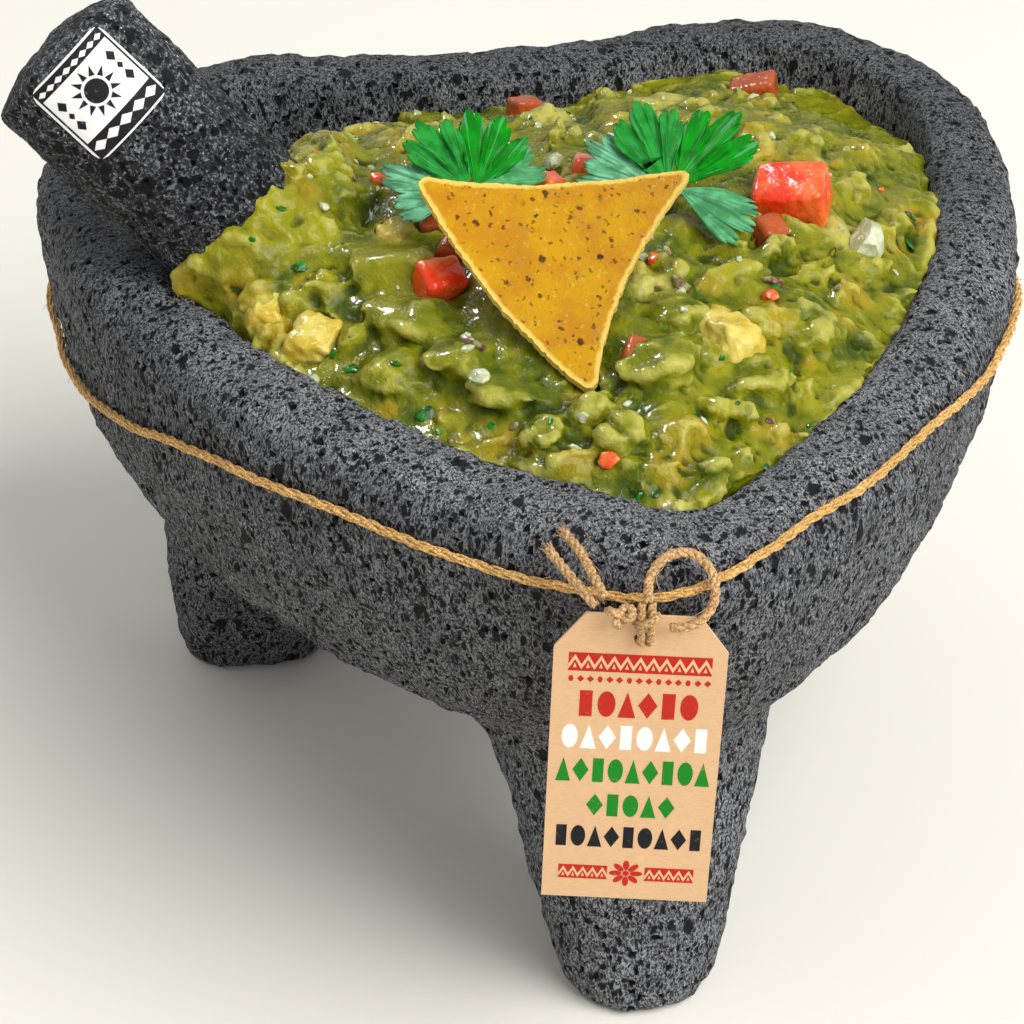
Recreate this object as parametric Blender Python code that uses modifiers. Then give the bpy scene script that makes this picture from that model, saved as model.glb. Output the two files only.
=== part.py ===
"""Guacamole served in its heart-shaped volcanic-stone mortar.

Units are metres and +Z is up. The heart's tip points to -Y, and the three legs stand on Z = 0.
Every form is first placed about the heart's own centre; one empty then shifts the whole so that
the origin is under the middle of its bounding box.
"""
import math

import bmesh
import bpy
from mathutils import Matrix, Vector
from mathutils.geometry import convex_hull_2d

# ---------------------------------------------------------------- driving dimensions
GAP = 0.0003                    # air left between pieces that touch

# Bowl. A lobe is (centre x, centre y, lobe radius, radius of the long side arc).
RIM_HEIGHT = 0.139
RIGHT_LOBE = (0.0515, 0.0351, 0.0580, 0.2036)
LEFT_LOBE = (0.0508, 0.0383, 0.0568, 0.2010)
NOTCH = (0.0117, 0.0859)
TIP_Y = -0.1297
TIP_RADIUS = 0.0301
RIM_WIDTH = 0.0190
RIM_OUTER_ROUND = 0.0095
RIM_INNER_ROUND = 0.0040
UNDERSIDE_Z = 0.0512
UNDERSIDE_LIFT = 0.0070         # how much higher the underside is towards the tip
BOWL_CENTRE = (0.0, -0.0289)
WALL_TAPER = 0.110              # share of the width lost evenly from rim to underside
WALL_CURVE = 0.523              # share of the width lost in the belly's round
BELLY_POWER = 3.0               # how low the belly's round starts
LEFT_FULLNESS = 0.028           # share of the width that the left side swells by
LEFT_RAMP = 0.050               # distance from the middle over which that swelling grows
CAVITY_FLOOR_Z = 0.0700
CAVITY_POWER = 2.3              # squareness of the hollow's section
ARC_STEPS = (5, 11, 9, 5)       # points on the notch, lobe, side and tip arcs of each half

# Legs: a round leg's foot, then its levels (height, move towards the bowl's middle, radius).
# Each leg widens upwards until it is inside the bowl's wall.
FRONT_FOOT = (-0.0002, -0.0864)
FRONT_LEVELS = ((0.0, 0.0, 0.0166), (0.038, 0.0091, 0.0251), (0.0752, 0.0180, 0.0334))
BACK_FEET = ((-0.0633, 0.0509), (0.0633, 0.0509))
BACK_LEVELS = ((0.0, 0.0, 0.0172), (0.027, 0.0040, 0.0222), (0.049, 0.0100, 0.0262),
               (0.070, 0.0185, 0.0300), (0.088, 0.0275, 0.0305))
LEG_SIDES = 24
FOOT_ROUND = 0.0036
BACK_SQUARENESS = 3.2           # 2 is a circle; the back legs are squarer
BACK_TURN = 12.0                # degrees their sides turn from the axes

# Pestle: it leans over the left lobe with its blunt end up and its other end in the food.
PESTLE_TOP = (-0.1046, 0.0100, 0.1856)
PESTLE_AXIS = (-0.662, 0.288, 0.692)
PESTLE_FACE = (0.0, -0.92, 0.386)
PESTLE_LENGTH = 0.1320
PESTLE_TOP_RADIUS = 0.0178
PESTLE_LOW_RADIUS = 0.0150
PESTLE_STRAIGHT = 0.0300        # length under the blunt end before the taper starts
PESTLE_ROUND = 0.0070
STICKER_ACROSS = 0.0205
STICKER_ALONG = 0.0195
STICKER_THICKNESS = 0.0003
STICKER_FROM_TOP = 0.0142       # its middle, measured down the pestle
STICKER_ROUND = 0.0022

# Heap of guacamole. Heights are from the rim's top face.
HEAP_DOME = 0.0155
HEAP_POWER = 2.6
FRONT_EDGE_DROP = 0.0022
BACK_EDGE_DROP = 0.0070
BACK_EDGE_START = 0.005
BACK_EDGE_END = 0.060
# Rises on the heap: (x, y, reach, height): a dip at the right, the bank against the pestle.
HEAP_RISES = ((0.088, 0.045, 0.028, -0.0040), (-0.065, -0.012, 0.019, 0.0112))
# The scooped-out back left: a point on its lip, the way it falls, its run and depth.
SCOOP_LIP = (-0.0422, 0.0427)
SCOOP_WAY = (-0.66, 0.75)
SCOOP_RUN = 0.028
SCOOP_DEPTH = 0.028
HEAP_RIPPLE = 0.0009
HEAP_TOP_RINGS = (1.12, 1.0, 0.9, 0.79, 0.66, 0.5, 0.31, 0.12)

# Tortilla chip, a bent triangle. Its frame has X along the top edge and Y up the slope.
CHIP_PLACE = (-0.0085, -0.0372, 0.1670)
CHIP_TURN = -11.5
CHIP_SLOPE = 27.5
CHIP_CORNERS = ((-0.0285, -0.0006), (0.0070, -0.0500), (0.0282, 0.0008))
CHIP_BULGES = (0.0022, -0.0040, -0.0010)
CHIP_CORNER_CUT = 0.04
CHIP_EDGE_STEPS = 9
CHIP_THICKNESS = 0.0018
CHIP_CUP = 0.0035
CHIP_RINGS = (0.2, 0.6, 1.0)

# Coriander sprigs: (name, x, y, height over the heap, turn, tilt, width, length).
SPRIGS = (
    ("coriander_sprig_left", -0.0240, -0.0190, 0.0040, 12, 20, 0.0350, 0.0235),
    ("coriander_sprig_right", 0.0200, -0.0275, 0.0045, -18, 20, 0.0365, 0.0250),
)
SPRIG_THICKNESS = 0.0009
SPRIG_POINTS = 40

# Diced tomato: (x, y, lift of the middle over the heap, size, turn about X, Y, Z).
TOMATO_DICE = (
    (0.0455, -0.0230, 0.0022, (0.0148, 0.0116, 0.0100), (14, -8, -24)),
    (-0.0329, -0.0413, 0.0010, (0.0088, 0.0078, 0.0076), (24, 6, 14)),
    (-0.0280, -0.0320, 0.0005, (0.0060, 0.0088, 0.0060), (10, 22, -28)),
    (-0.0290, -0.0185, 0.0002, (0.0066, 0.0090, 0.0062), (18, -18, -16)),
    (0.0045, 0.0497, 0.0015, (0.0088, 0.0070, 0.0066), (-8, 12, 20)),
    (0.0605, 0.0565, 0.0020, (0.0132, 0.0086, 0.0070), (6, -14, -22)),
    (-0.0041, -0.0130, 0.0008, (0.0066, 0.0056, 0.0052), (12, 20, 35)),
    (0.0057, -0.0084, 0.0010, (0.0076, 0.0066, 0.0058), (-6, 14, -12)),
    (0.0373, -0.0340, -0.0006, (0.0080, 0.0066, 0.0060), (22, 10, 30)),
    (-0.0015, -0.0760, 0.0000, (0.0056, 0.0080, 0.0058), (18, 16, -20)),
)
TOMATO_BEVEL = 0.0009

# Avocado chunks: (x, y, lift, size, turn about X, Y, Z).
AVOCADO_CHUNKS = (
    (-0.0585, -0.0425, -0.0004, (0.0135, 0.0140, 0.0100), (12, -10, 24)),
    (0.0193, -0.0679, 0.0002, (0.0120, 0.0165, 0.0105), (20, 4, -12)),
    (-0.0385, -0.0205, 0.0000, (0.0090, 0.0085, 0.0076), (8, -12, 8)),
    (-0.0670, -0.0330, 0.0004, (0.0088, 0.0100, 0.0076), (10, -16, -20)),
)

# Twine round the bowl: (x, drop below the rim's top face) along the front, and at the back.
TWINE_RADIUS = 0.0011
TWINE_DROPS = ((-0.104, 0.0235), (-0.095, 0.0225), (-0.084, 0.0166), (-0.0756, 0.0137),
               (-0.0675, 0.0120), (-0.0595, 0.0112), (-0.028, 0.0108), (-0.010, 0.0085),
               (0.004, 0.0055), (0.012, 0.0043), (0.047, 0.0043), (0.055, 0.0048),
               (0.065, 0.0064), (0.080, 0.0095), (0.095, 0.0125), (0.107, 0.0150))
TWINE_BACK_DROP = 0.0190

# Hang tag, upright in front of the tip.
TAG_WIDTH = 0.0320
TAG_HEIGHT = 0.0680
TAG_CHAMFER = (0.0055, 0.0078)
TAG_THICKNESS = 0.0006
TAG_HOLE_RADIUS = 0.0015
TAG_HOLE_DROP = 0.0052
TAG_HOLE_PLACE = (-0.0133, -0.1313, 0.1236)
TAG_TURN = -14.0
TAG_LEAN = 1.8

# String on the tag. Each route is a list of points along its centreline.
STRING_RADIUS = 0.0010
RING_ROUTE = (
    (-0.0130, -0.1336, 0.1333), (-0.0126, -0.1322, 0.1368), (-0.0106, -0.1304, 0.1390),
    (-0.0072, -0.1291, 0.1400), (-0.0036, -0.1292, 0.1394), (-0.0010, -0.1310, 0.1371),
    (-0.0006, -0.1338, 0.1338), (-0.0022, -0.1356, 0.1307), (-0.0056, -0.1363, 0.1288),
    (-0.0092, -0.1356, 0.1283),
)
UPPER_TAIL_ROUTE = (
    (-0.0206, -0.1318, 0.1342), (-0.0220, -0.1278, 0.1366), (-0.0231, -0.1228, 0.1384),
    (-0.0248, -0.1172, 0.1390),
)
LOWER_TAIL_ROUTE = (
    (-0.0222, -0.1312, 0.1322), (-0.0246, -0.1278, 0.1346), (-0.0266, -0.1238, 0.1362),
    (-0.0282, -0.1190, 0.1372),
)
STRING_STEP = 0.0024
HITCH_PLACE = (-0.0132, -0.1336, 0.1290)
HITCH_SIZE = (0.0034, 0.0022, 0.0066)
KNOT_PLACE = (-0.0181, -0.1335, 0.1310)
KNOT_SIZE = (0.0050, 0.0034, 0.0040)
CORD_NAMES = ("string_ring", "string_hitch", "string_knot", "string_tail_upper",
              "string_tail_lower")

# Finishes: (base colour, roughness).
FINISHES = {
    "stone": ((0.082, 0.084, 0.090), 0.92),
    "sticker": ((0.86, 0.86, 0.86), 0.45),
    "guacamole": ((0.176, 0.205, 0.012), 0.38),
    "avocado": ((0.42, 0.38, 0.03), 0.35),
    "tomato": ((0.78, 0.075, 0.022), 0.22),
    "chip": ((0.63, 0.33, 0.012), 0.60),
    "leaf": ((0.022, 0.21, 0.045), 0.45),
    "twine": ((0.52, 0.30, 0.10), 0.80),
    "string": ((0.58, 0.30, 0.11), 0.80),
    "kraft": ((0.87, 0.52, 0.27), 0.75),
}


# ---------------------------------------------------------------- scene helpers
def clear_scene():
    for item in list(bpy.data.objects):
        bpy.data.objects.remove(item, do_unlink=True)


def new_collection(name):
    made = bpy.data.collections.new(name)
    bpy.context.scene.collection.children.link(made)
    return made


def finish_material(name):
    """One Principled material for each finish, shared by the pieces that have it."""
    if name in bpy.data.materials:
        return bpy.data.materials[name]
    material = bpy.data.materials.new(name)
    material.use_nodes = True
    shader = material.node_tree.nodes["Principled BSDF"]
    colour, roughness = FINISHES[name]
    shader.inputs["Base Color"].default_value = (*colour, 1.0)
    shader.inputs["Roughness"].default_value = roughness
    material.diffuse_color = (*colour, 1.0)
    return material


def add_object(name, data, finish, collection):
    made = bpy.data.objects.new(name, data)
    made.parent = bpy.data.objects["middle_of_base"]
    collection.objects.link(made)
    if finish:
        data.materials.append(finish_material(finish))
    else:
        made.hide_render = True
        made.display_type = "WIRE"
    return made


def mesh_from(bm, name):
    mesh = bpy.data.meshes.new(name)
    bmesh.ops.recalc_face_normals(bm, faces=bm.faces)
    bm.to_mesh(mesh)
    bm.free()
    mesh.shade_smooth()
    mesh.set_sharp_from_angle(angle=math.radians(38))
    return mesh


def loft(name, rings):
    """A closed solid through rings of equal point count, its first and last rings capped."""
    bm = bmesh.new()
    loops = [[bm.verts.new(point) for point in ring] for ring in rings]
    count = len(loops[0])
    for low, high in zip(loops, loops[1:]):
        for i in range(count):
            j = (i + 1) % count
            bm.faces.new((low[i], low[j], high[j], high[i]))
    bm.faces.new(loops[0][::-1])
    bm.faces.new(loops[-1])
    return mesh_from(bm, name)


def add_boolean(target, operation, cutter):
    cut = target.modifiers.new(operation.lower(), "BOOLEAN")
    cut.operation = operation
    cut.solver = "EXACT"
    if isinstance(cutter, bpy.types.Collection):
        cut.operand_type = "COLLECTION"
        cut.collection = cutter
    else:
        cut.object = cutter


def smooth_step(value):
    value = min(max(value, 0.0), 1.0)
    return value * value * (3.0 - 2.0 * value)


# ---------------------------------------------------------------- heart outline
def arc(centre, radius, start, end, steps, outward):
    """Points (x, y, normal x, normal y) from one angle up to, but not at, the other."""
    points = []
    for i in range(steps):
        angle = start + (end - start) * i / steps
        nx, ny = math.cos(angle), math.sin(angle)
        points.append((centre.x + radius * nx, centre.y + radius * ny, outward * nx, outward * ny))
    return points


def heading(vector):
    return math.atan2(vector.y, vector.x)


def half_heart(lobe, notch_x):
    """From the notch, round the lobe and down the side to the tip, for the half at +X."""
    lobe_x, lobe_y, lobe_radius, side_radius = lobe
    lobe_centre = Vector((lobe_x, lobe_y))
    rise = NOTCH[1] - lobe_y
    reach = lobe_x - notch_x
    notch_radius = (lobe_radius**2 - reach**2 - rise**2) / (2 * (rise - lobe_radius))
    notch_centre = Vector((notch_x, NOTCH[1] + notch_radius))
    tip_centre = Vector((0.0, TIP_Y + TIP_RADIUS))
    # The side arc touches the lobe's and the tip's circles from outside, so its centre is at
    # known distances from both.
    to_lobe = side_radius - lobe_radius
    to_tip = side_radius - TIP_RADIUS
    span = tip_centre - lobe_centre
    along = (to_lobe**2 - to_tip**2 + span.length_squared) / (2 * span.length)
    off = math.sqrt(to_lobe**2 - along**2)
    unit = span.normalized()
    side_centre = lobe_centre + unit * along - Vector((-unit.y, unit.x)) * off
    side_start = heading(lobe_centre - side_centre)
    side_end = heading(tip_centre - side_centre)
    notch_end = heading(lobe_centre - notch_centre)
    lobe_start = heading(notch_centre - lobe_centre)
    n_notch, n_lobe, n_side, n_tip = ARC_STEPS
    points = arc(notch_centre, notch_radius, -math.pi / 2, notch_end, n_notch, -1)
    points += arc(lobe_centre, lobe_radius, lobe_start, side_start, n_lobe, 1)
    points += arc(side_centre, side_radius, side_start, side_end, n_side, 1)
    points += arc(tip_centre, TIP_RADIUS, side_end, -math.pi / 2, n_tip, 1)
    return points


def heart_outline():
    """The rim's outer edge from the notch clockwise, as points with outward normals."""
    right = half_heart(RIGHT_LOBE, NOTCH[0])
    left = half_heart(LEFT_LOBE, -NOTCH[0])
    tip = (0.0, TIP_Y, 0.0, -1.0)
    mirrored = [(-x, y, -nx, ny) for x, y, nx, ny in reversed(left)]
    return right + [tip] + mirrored[:-1]


OUTLINE = heart_outline()


def heart_ring(inset, z, scale=1.0):
    """The outline moved in by an inset, then scaled about the bowl's centre, at one height."""
    cx, cy = BOWL_CENTRE
    ring = []
    for x, y, nx, ny in OUTLINE:
        px, py = x - nx * inset, y - ny * inset
        ring.append((cx + (px - cx) * scale, cy + (py - cy) * scale, z))
    return ring


# ---------------------------------------------------------------- bowl and legs
def wall_scale(fall):
    """Width of the outer wall at a fall of 0 (under the rim's round) to 1 (the underside)."""
    belly = 1.0 - math.sqrt(max(0.0, 1.0 - fall**BELLY_POWER))
    return 1.0 - WALL_TAPER * fall - WALL_CURVE * belly


def swollen(x, fall):
    """An outer wall's x, moved out a little on the left, where the bowl is fuller."""
    return x * (1 + LEFT_FULLNESS * 4 * fall * (1 - fall) * smooth_step(-x / LEFT_RAMP))


def underside(y):
    return UNDERSIDE_Z + UNDERSIDE_LIFT * smooth_step((-0.020 - y) / 0.050)


def outer_rings(steps=7):
    """From the underside up the outer wall and over the rim's outer round."""
    rings = []
    top = RIM_HEIGHT - RIM_OUTER_ROUND
    for i in range(steps, -1, -1):
        fall = math.sin(math.pi / 2 * i / steps) ** 0.8
        rings.append([(swollen(x, fall), y, top + (underside(y) - top) * fall)
                      for x, y, _ in heart_ring(0.0, 0.0, wall_scale(fall))])
    for i in range(1, 4):
        angle = math.pi / 2 * i / 3
        inset = RIM_OUTER_ROUND * (1 - math.cos(angle))
        rings.append(heart_ring(inset, top + RIM_OUTER_ROUND * math.sin(angle)))
    return rings


def cavity_rings(gap, steps=6):
    """From the rim's inner edge down to the hollow's floor, moved in by a gap."""
    rings = []
    floor = CAVITY_FLOOR_Z + gap
    top = RIM_HEIGHT - RIM_INNER_ROUND
    for i in range(steps + 1):
        angle = math.pi / 2 * i / steps * 0.93
        depth = math.sin(angle) ** (2 / CAVITY_POWER)
        scale = math.cos(angle) ** (2 / CAVITY_POWER)
        rings.append(heart_ring(RIM_WIDTH + gap, top + (floor - top) * depth, scale))
    return rings


def hollow_mesh():
    """The space inside the bowl, with the rim's inner round flaring out to its top face."""
    lip = RIM_INNER_ROUND * (1 - math.sqrt(0.5))
    rings = [heart_ring(RIM_WIDTH - RIM_INNER_ROUND, RIM_HEIGHT + 0.01),
             heart_ring(RIM_WIDTH - RIM_INNER_ROUND, RIM_HEIGHT),
             heart_ring(RIM_WIDTH - lip, RIM_HEIGHT - lip)]
    return loft("hollow", rings + cavity_rings(0.0))


def leg_mesh(foot, levels, squareness, turn):
    """A leg from its rounded foot up into the bowl, its section round or a soft square."""
    inward = (Vector(BOWL_CENTRE) - Vector(foot)).normalized()
    foot_radius = levels[0][2]
    rings = [(0.0, 0.0, foot_radius - FOOT_ROUND),
             (0.3 * FOOT_ROUND, 0.0, foot_radius - 0.3 * FOOT_ROUND),
             (FOOT_ROUND, 0.0, foot_radius)]
    rings += levels[1:]
    loops = []
    for z, move, radius in rings:
        middle = Vector(foot) + inward * move
        loop = []
        for i in range(LEG_SIDES):
            angle = math.tau * (i + 0.5) / LEG_SIDES
            across, along = abs(math.cos(angle)), abs(math.sin(angle))
            reach = radius * (across**squareness + along**squareness) ** (-1 / squareness)
            angle += math.radians(turn)
            loop.append((middle.x + reach * math.cos(angle), middle.y + reach * math.sin(angle), z))
        loops.append(loop)
    return loft("leg", loops)


def build_bowl(parts, cutters):
    bowl = add_object("molcajete_bowl", loft("bowl", outer_rings()), "stone", parts)
    legs = [leg_mesh(FRONT_FOOT, FRONT_LEVELS, 2.0, 0.0),
            leg_mesh(BACK_FEET[0], BACK_LEVELS, BACK_SQUARENESS, -BACK_TURN),
            leg_mesh(BACK_FEET[1], BACK_LEVELS, BACK_SQUARENESS, BACK_TURN)]
    for name, leg in zip(("front", "left", "right"), legs):
        add_boolean(bowl, "UNION", add_object("leg_" + name, leg, None, cutters))
    add_boolean(bowl, "DIFFERENCE", add_object("hollow", hollow_mesh(), None, cutters))


# ---------------------------------------------------------------- pestle
def pestle_matrix():
    """Local Z runs up the pestle to its blunt end, local X to the side with the sticker."""
    up = Vector(PESTLE_AXIS).normalized()
    face = Vector(PESTLE_FACE)
    face = (face - up * face.dot(up)).normalized()
    side = up.cross(face)
    turn = Matrix((face, side, up)).transposed().to_4x4()
    return Matrix.Translation(PESTLE_TOP) @ turn


def pestle_mesh(name, gap):
    """The half section, from the middle of the blunt end down the outer side."""
    quarter = [math.pi / 2 * i / 4 for i in range(5)]
    points = [(0.0, gap)]
    for angle in quarter:
        reach, rise = math.sin(angle), math.cos(angle)
        points.append((PESTLE_TOP_RADIUS - PESTLE_ROUND * (1 - reach) + gap * reach,
                       -PESTLE_ROUND * (1 - rise) + gap * rise))
    points.append((PESTLE_TOP_RADIUS + gap, -PESTLE_STRAIGHT))
    for angle in quarter:
        reach, fall = math.cos(angle), math.sin(angle)
        points.append((PESTLE_LOW_RADIUS - PESTLE_ROUND * (1 - reach) + gap * reach,
                       -PESTLE_LENGTH + PESTLE_ROUND * (1 - fall) - gap * fall))
    points.append((0.0, -PESTLE_LENGTH - gap))
    edges = [(i, i + 1) for i in range(len(points) - 1)]
    mesh = bpy.data.meshes.new(name)
    mesh.from_pydata([(x, 0.0, z) for x, z in points], edges, [])
    return mesh


def add_pestle(name, gap, finish, collection):
    pestle = add_object(name, pestle_mesh(name, gap), finish, collection)
    pestle.matrix_local = pestle_matrix()
    screw = pestle.modifiers.new("turn", "SCREW")
    screw.steps = screw.render_steps = 26
    screw.use_merge_vertices = True
    screw.merge_threshold = 0.00001
    screw.use_smooth_shade = True
    return pestle


def build_sticker(parts):
    """A thin square label with rounded corners, wrapped on the straight part of the pestle."""
    bm = bmesh.new()
    bmesh.ops.create_grid(bm, x_segments=8, y_segments=2, size=0.5)
    bmesh.ops.scale(bm, verts=bm.verts, vec=(STICKER_ACROSS, STICKER_ALONG, 1.0))
    corners = [v for v in bm.verts if len(v.link_edges) == 2]
    bmesh.ops.bevel(bm, geom=corners, offset=STICKER_ROUND, segments=3, profile=0.5,
                    affect="VERTICES")
    radius = PESTLE_TOP_RADIUS + GAP
    for vert in bm.verts:
        angle = vert.co.x / radius
        vert.co = Vector((radius * math.cos(angle), radius * math.sin(angle),
                          vert.co.y - STICKER_FROM_TOP))
    sticker = add_object("pestle_sticker", mesh_from(bm, "pestle_sticker"), "sticker", parts)
    sticker.matrix_local = pestle_matrix()
    wall = sticker.modifiers.new("thickness", "SOLIDIFY")
    wall.thickness = STICKER_THICKNESS
    middle = sticker.data.polygons[len(sticker.data.polygons) // 2]
    wall.offset = 1.0 if middle.normal.x > 0 else -1.0


# ---------------------------------------------------------------- guacamole
def edge_fraction(x, y):
    """0 at the bowl's centre and 1 at the rim's inner edge, along the line through (x, y)."""
    cx, cy = BOWL_CENTRE
    reach = Vector((x - cx, y - cy))
    if reach.length < 1e-6:
        return 0.0
    edge = 0.0
    ring = heart_ring(RIM_WIDTH, 0.0)
    for (ax, ay, _), (bx, by, _) in zip(ring, ring[1:] + ring[:1]):
        start = Vector((ax - cx, ay - cy))
        side = Vector((bx - ax, by - ay))
        cross = reach.x * side.y - reach.y * side.x
        if abs(cross) < 1e-12:
            continue
        far = (start.x * side.y - start.y * side.x) / cross
        along = (start.x * reach.y - start.y * reach.x) / cross
        if far > 0 and -1e-4 <= along <= 1 + 1e-4:
            edge = max(edge, far)
    return 1.0 / edge


def heap_height(x, y):
    """Height of the guacamole's top: a low dome that meets the wall near the rim."""
    back = smooth_step((y - BACK_EDGE_START) / (BACK_EDGE_END - BACK_EDGE_START))
    z = RIM_HEIGHT - FRONT_EDGE_DROP - BACK_EDGE_DROP * back
    for rise_x, rise_y, reach, height in HEAP_RISES:
        z += height * math.exp(-((x - rise_x) ** 2 + (y - rise_y) ** 2) / reach**2)
    past_lip = (x - SCOOP_LIP[0]) * SCOOP_WAY[0] + (y - SCOOP_LIP[1]) * SCOOP_WAY[1]
    z -= SCOOP_DEPTH * smooth_step(past_lip / SCOOP_RUN)
    z += HEAP_DOME * (1.0 - min(edge_fraction(x, y), 1.15) ** HEAP_POWER)
    z += HEAP_RIPPLE * (math.sin(x * 260 + 1.0) + math.sin(y * 230 + x * 90))
    return z


def heap_mesh():
    """The heap down to below the hollow's floor, wider than the hollow that trims it."""
    rim_ring = heart_ring(RIM_WIDTH, 0.0)
    cx, cy = BOWL_CENTRE

    def spread(scale):
        return [(cx + (x - cx) * scale, cy + (y - cy) * scale) for x, y, _ in rim_ring]

    rings = [[(x, y, CAVITY_FLOOR_Z - 0.01) for x, y in spread(HEAP_TOP_RINGS[0])]]
    for scale in HEAP_TOP_RINGS:
        rings.append([(x, y, heap_height(x, y)) for x, y in spread(scale)])
    return loft("heap", rings)


def filler_mesh():
    """All the space inside the bowl, a gap off its wall, and straight up over the rim."""
    above = heart_ring(RIM_WIDTH + GAP, RIM_HEIGHT + 0.03)
    return loft("filler", [above] + cavity_rings(GAP))


def build_guacamole(parts, cutters, garnish_cutters):
    guacamole = add_object("guacamole", heap_mesh(), "guacamole", parts)
    filler = add_object("cavity_filler", filler_mesh(), None, cutters)
    add_boolean(guacamole, "INTERSECT", filler)
    add_boolean(guacamole, "DIFFERENCE", garnish_cutters)


# ---------------------------------------------------------------- chip, toppings and leaves
def chip_outline():
    """The triangle's three slightly bowed edges; the step between two of them is a corner."""
    points = []
    for start, end, bulge in zip(CHIP_CORNERS, CHIP_CORNERS[1:] + CHIP_CORNERS[:1], CHIP_BULGES):
        start, end = Vector(start), Vector(end)
        run = end - start
        out = Vector((run.y, -run.x)).normalized()
        for i in range(CHIP_EDGE_STEPS + 1):
            part = CHIP_CORNER_CUT + (1 - 2 * CHIP_CORNER_CUT) * i / CHIP_EDGE_STEPS
            points.append(start + run * part + out * bulge * 4 * part * (1 - part))
    return points


def chip_mesh(name, gap):
    """A plate bent up at its two upper corners, from its lower face out and back over."""
    outline = chip_outline()
    centre = sum(outline, Vector((0.0, 0.0))) / len(outline)
    half = CHIP_THICKNESS / 2 + gap

    def ring(scale, side):
        level = []
        for point in outline:
            out = point - centre
            spot = centre + out * scale
            if scale == 1.0:
                spot += out.normalized() * gap
            bend = CHIP_CUP * (spot.x / CHIP_CORNERS[2][0]) ** 2
            level.append((spot.x, spot.y, bend + side * half))
        return level

    rings = [ring(scale, -1) for scale in CHIP_RINGS]
    rings += [ring(scale, 1) for scale in reversed(CHIP_RINGS)]
    return loft(name, rings)


def chip_matrix():
    turn = Matrix.Rotation(math.radians(CHIP_TURN), 4, "Z")
    slope = Matrix.Rotation(math.radians(CHIP_SLOPE), 4, "X")
    return Matrix.Translation(CHIP_PLACE) @ turn @ slope


def build_chip(parts, garnish_cutters):
    for name, gap, finish, home in (("tortilla_chip", 0.0, "chip", parts),
                                    ("chip_cutter", GAP, None, garnish_cutters)):
        add_object(name, chip_mesh(name, gap), finish, home).matrix_local = chip_matrix()


def turn_matrix(angles):
    x, y, z = (math.radians(a) for a in angles)
    return (Matrix.Rotation(z, 4, "Z") @ Matrix.Rotation(y, 4, "Y") @ Matrix.Rotation(x, 4, "X"))


def dice_mesh(name, size, gap):
    """A cube of cut tomato with softened edges."""
    bm = bmesh.new()
    bmesh.ops.create_cube(bm, size=1.0)
    bmesh.ops.scale(bm, verts=bm.verts, vec=[side + 2 * gap for side in size])
    bmesh.ops.bevel(bm, geom=bm.edges, offset=TOMATO_BEVEL, segments=1, profile=0.5,
                    affect="EDGES")
    return mesh_from(bm, name)


def chunk_mesh(name, size, gap):
    """A rounded lump of avocado."""
    bm = bmesh.new()
    bmesh.ops.create_icosphere(bm, subdivisions=2, radius=0.5)
    bmesh.ops.scale(bm, verts=bm.verts, vec=[side + 2 * gap for side in size])
    return mesh_from(bm, name)


def add_topping(name, finish, make, placement, parts, garnish_cutters):
    x, y, lift, size, angles = placement
    place = Matrix.Translation((x, y, heap_height(x, y) + lift)) @ turn_matrix(angles)
    add_object(name, make(name, size, 0.0), finish, parts).matrix_local = place
    cutter = add_object(name + "_cutter", make(name, size, 1.5 * GAP), None, garnish_cutters)
    cutter.matrix_local = place


def build_toppings(parts, garnish_cutters):
    for number, placement in enumerate(TOMATO_DICE, 1):
        add_topping(f"tomato_dice_{number:02d}", "tomato", dice_mesh, placement, parts,
                    garnish_cutters)
    for number, placement in enumerate(AVOCADO_CHUNKS, 1):
        add_topping(f"avocado_chunk_{number}", "avocado", chunk_mesh, placement, parts,
                    garnish_cutters)


def sprig_outline(width, length):
    """Three fanned leaflets with blunt lobes, seen flat; the stalk end is at the origin."""
    points = []
    for i in range(SPRIG_POINTS):
        angle = math.radians(-20 + 220 * i / (SPRIG_POINTS - 1))
        leaflets = 0.80 + 0.20 * math.cos(3 * (angle - math.pi / 2))
        lobes = 1.0 + 0.06 * math.cos(15 * (angle - math.pi / 2))
        reach = leaflets * lobes
        points.append((0.5 * width * reach * math.cos(angle),
                       0.95 * length * reach * (0.30 + 0.70 * math.sin(angle))))
    return points


def build_sprigs(parts):
    for name, x, y, lift, turn, tilt, width, length in SPRIGS:
        outline = sprig_outline(width, length)
        rings = [[(px, py, side * SPRIG_THICKNESS / 2) for px, py in outline] for side in (-1, 1)]
        sprig = add_object(name, loft(name, rings), "leaf", parts)
        sprig.matrix_local = (Matrix.Translation((x, y, heap_height(x, y) + lift))
                              @ turn_matrix((tilt, 0, turn)))


# ---------------------------------------------------------------- twine, string and tag
def add_tube(name, points, radius, finish, parts, sides=2, cyclic=False):
    curve = bpy.data.curves.new(name, "CURVE")
    curve.dimensions = "3D"
    curve.bevel_depth = radius
    curve.bevel_resolution = sides
    curve.use_fill_caps = not cyclic
    spline = curve.splines.new("POLY")
    spline.points.add(len(points) - 1)
    for place, point in zip(spline.points, points):
        place.co = (*point, 1.0)
    spline.use_cyclic_u = cyclic
    return add_object(name, curve, finish, parts)


def twine_drop(x, y):
    """The band rides high right of the tip and sags over the left lobe."""
    drop = TWINE_DROPS[0][1]
    for (low_x, low), (high_x, high) in zip(TWINE_DROPS, TWINE_DROPS[1:]):
        if x > low_x:
            drop = low + (high - low) * min((x - low_x) / (high_x - low_x), 1.0)
    return drop + (TWINE_BACK_DROP - drop) * smooth_step((y - 0.030) / 0.050)


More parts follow.
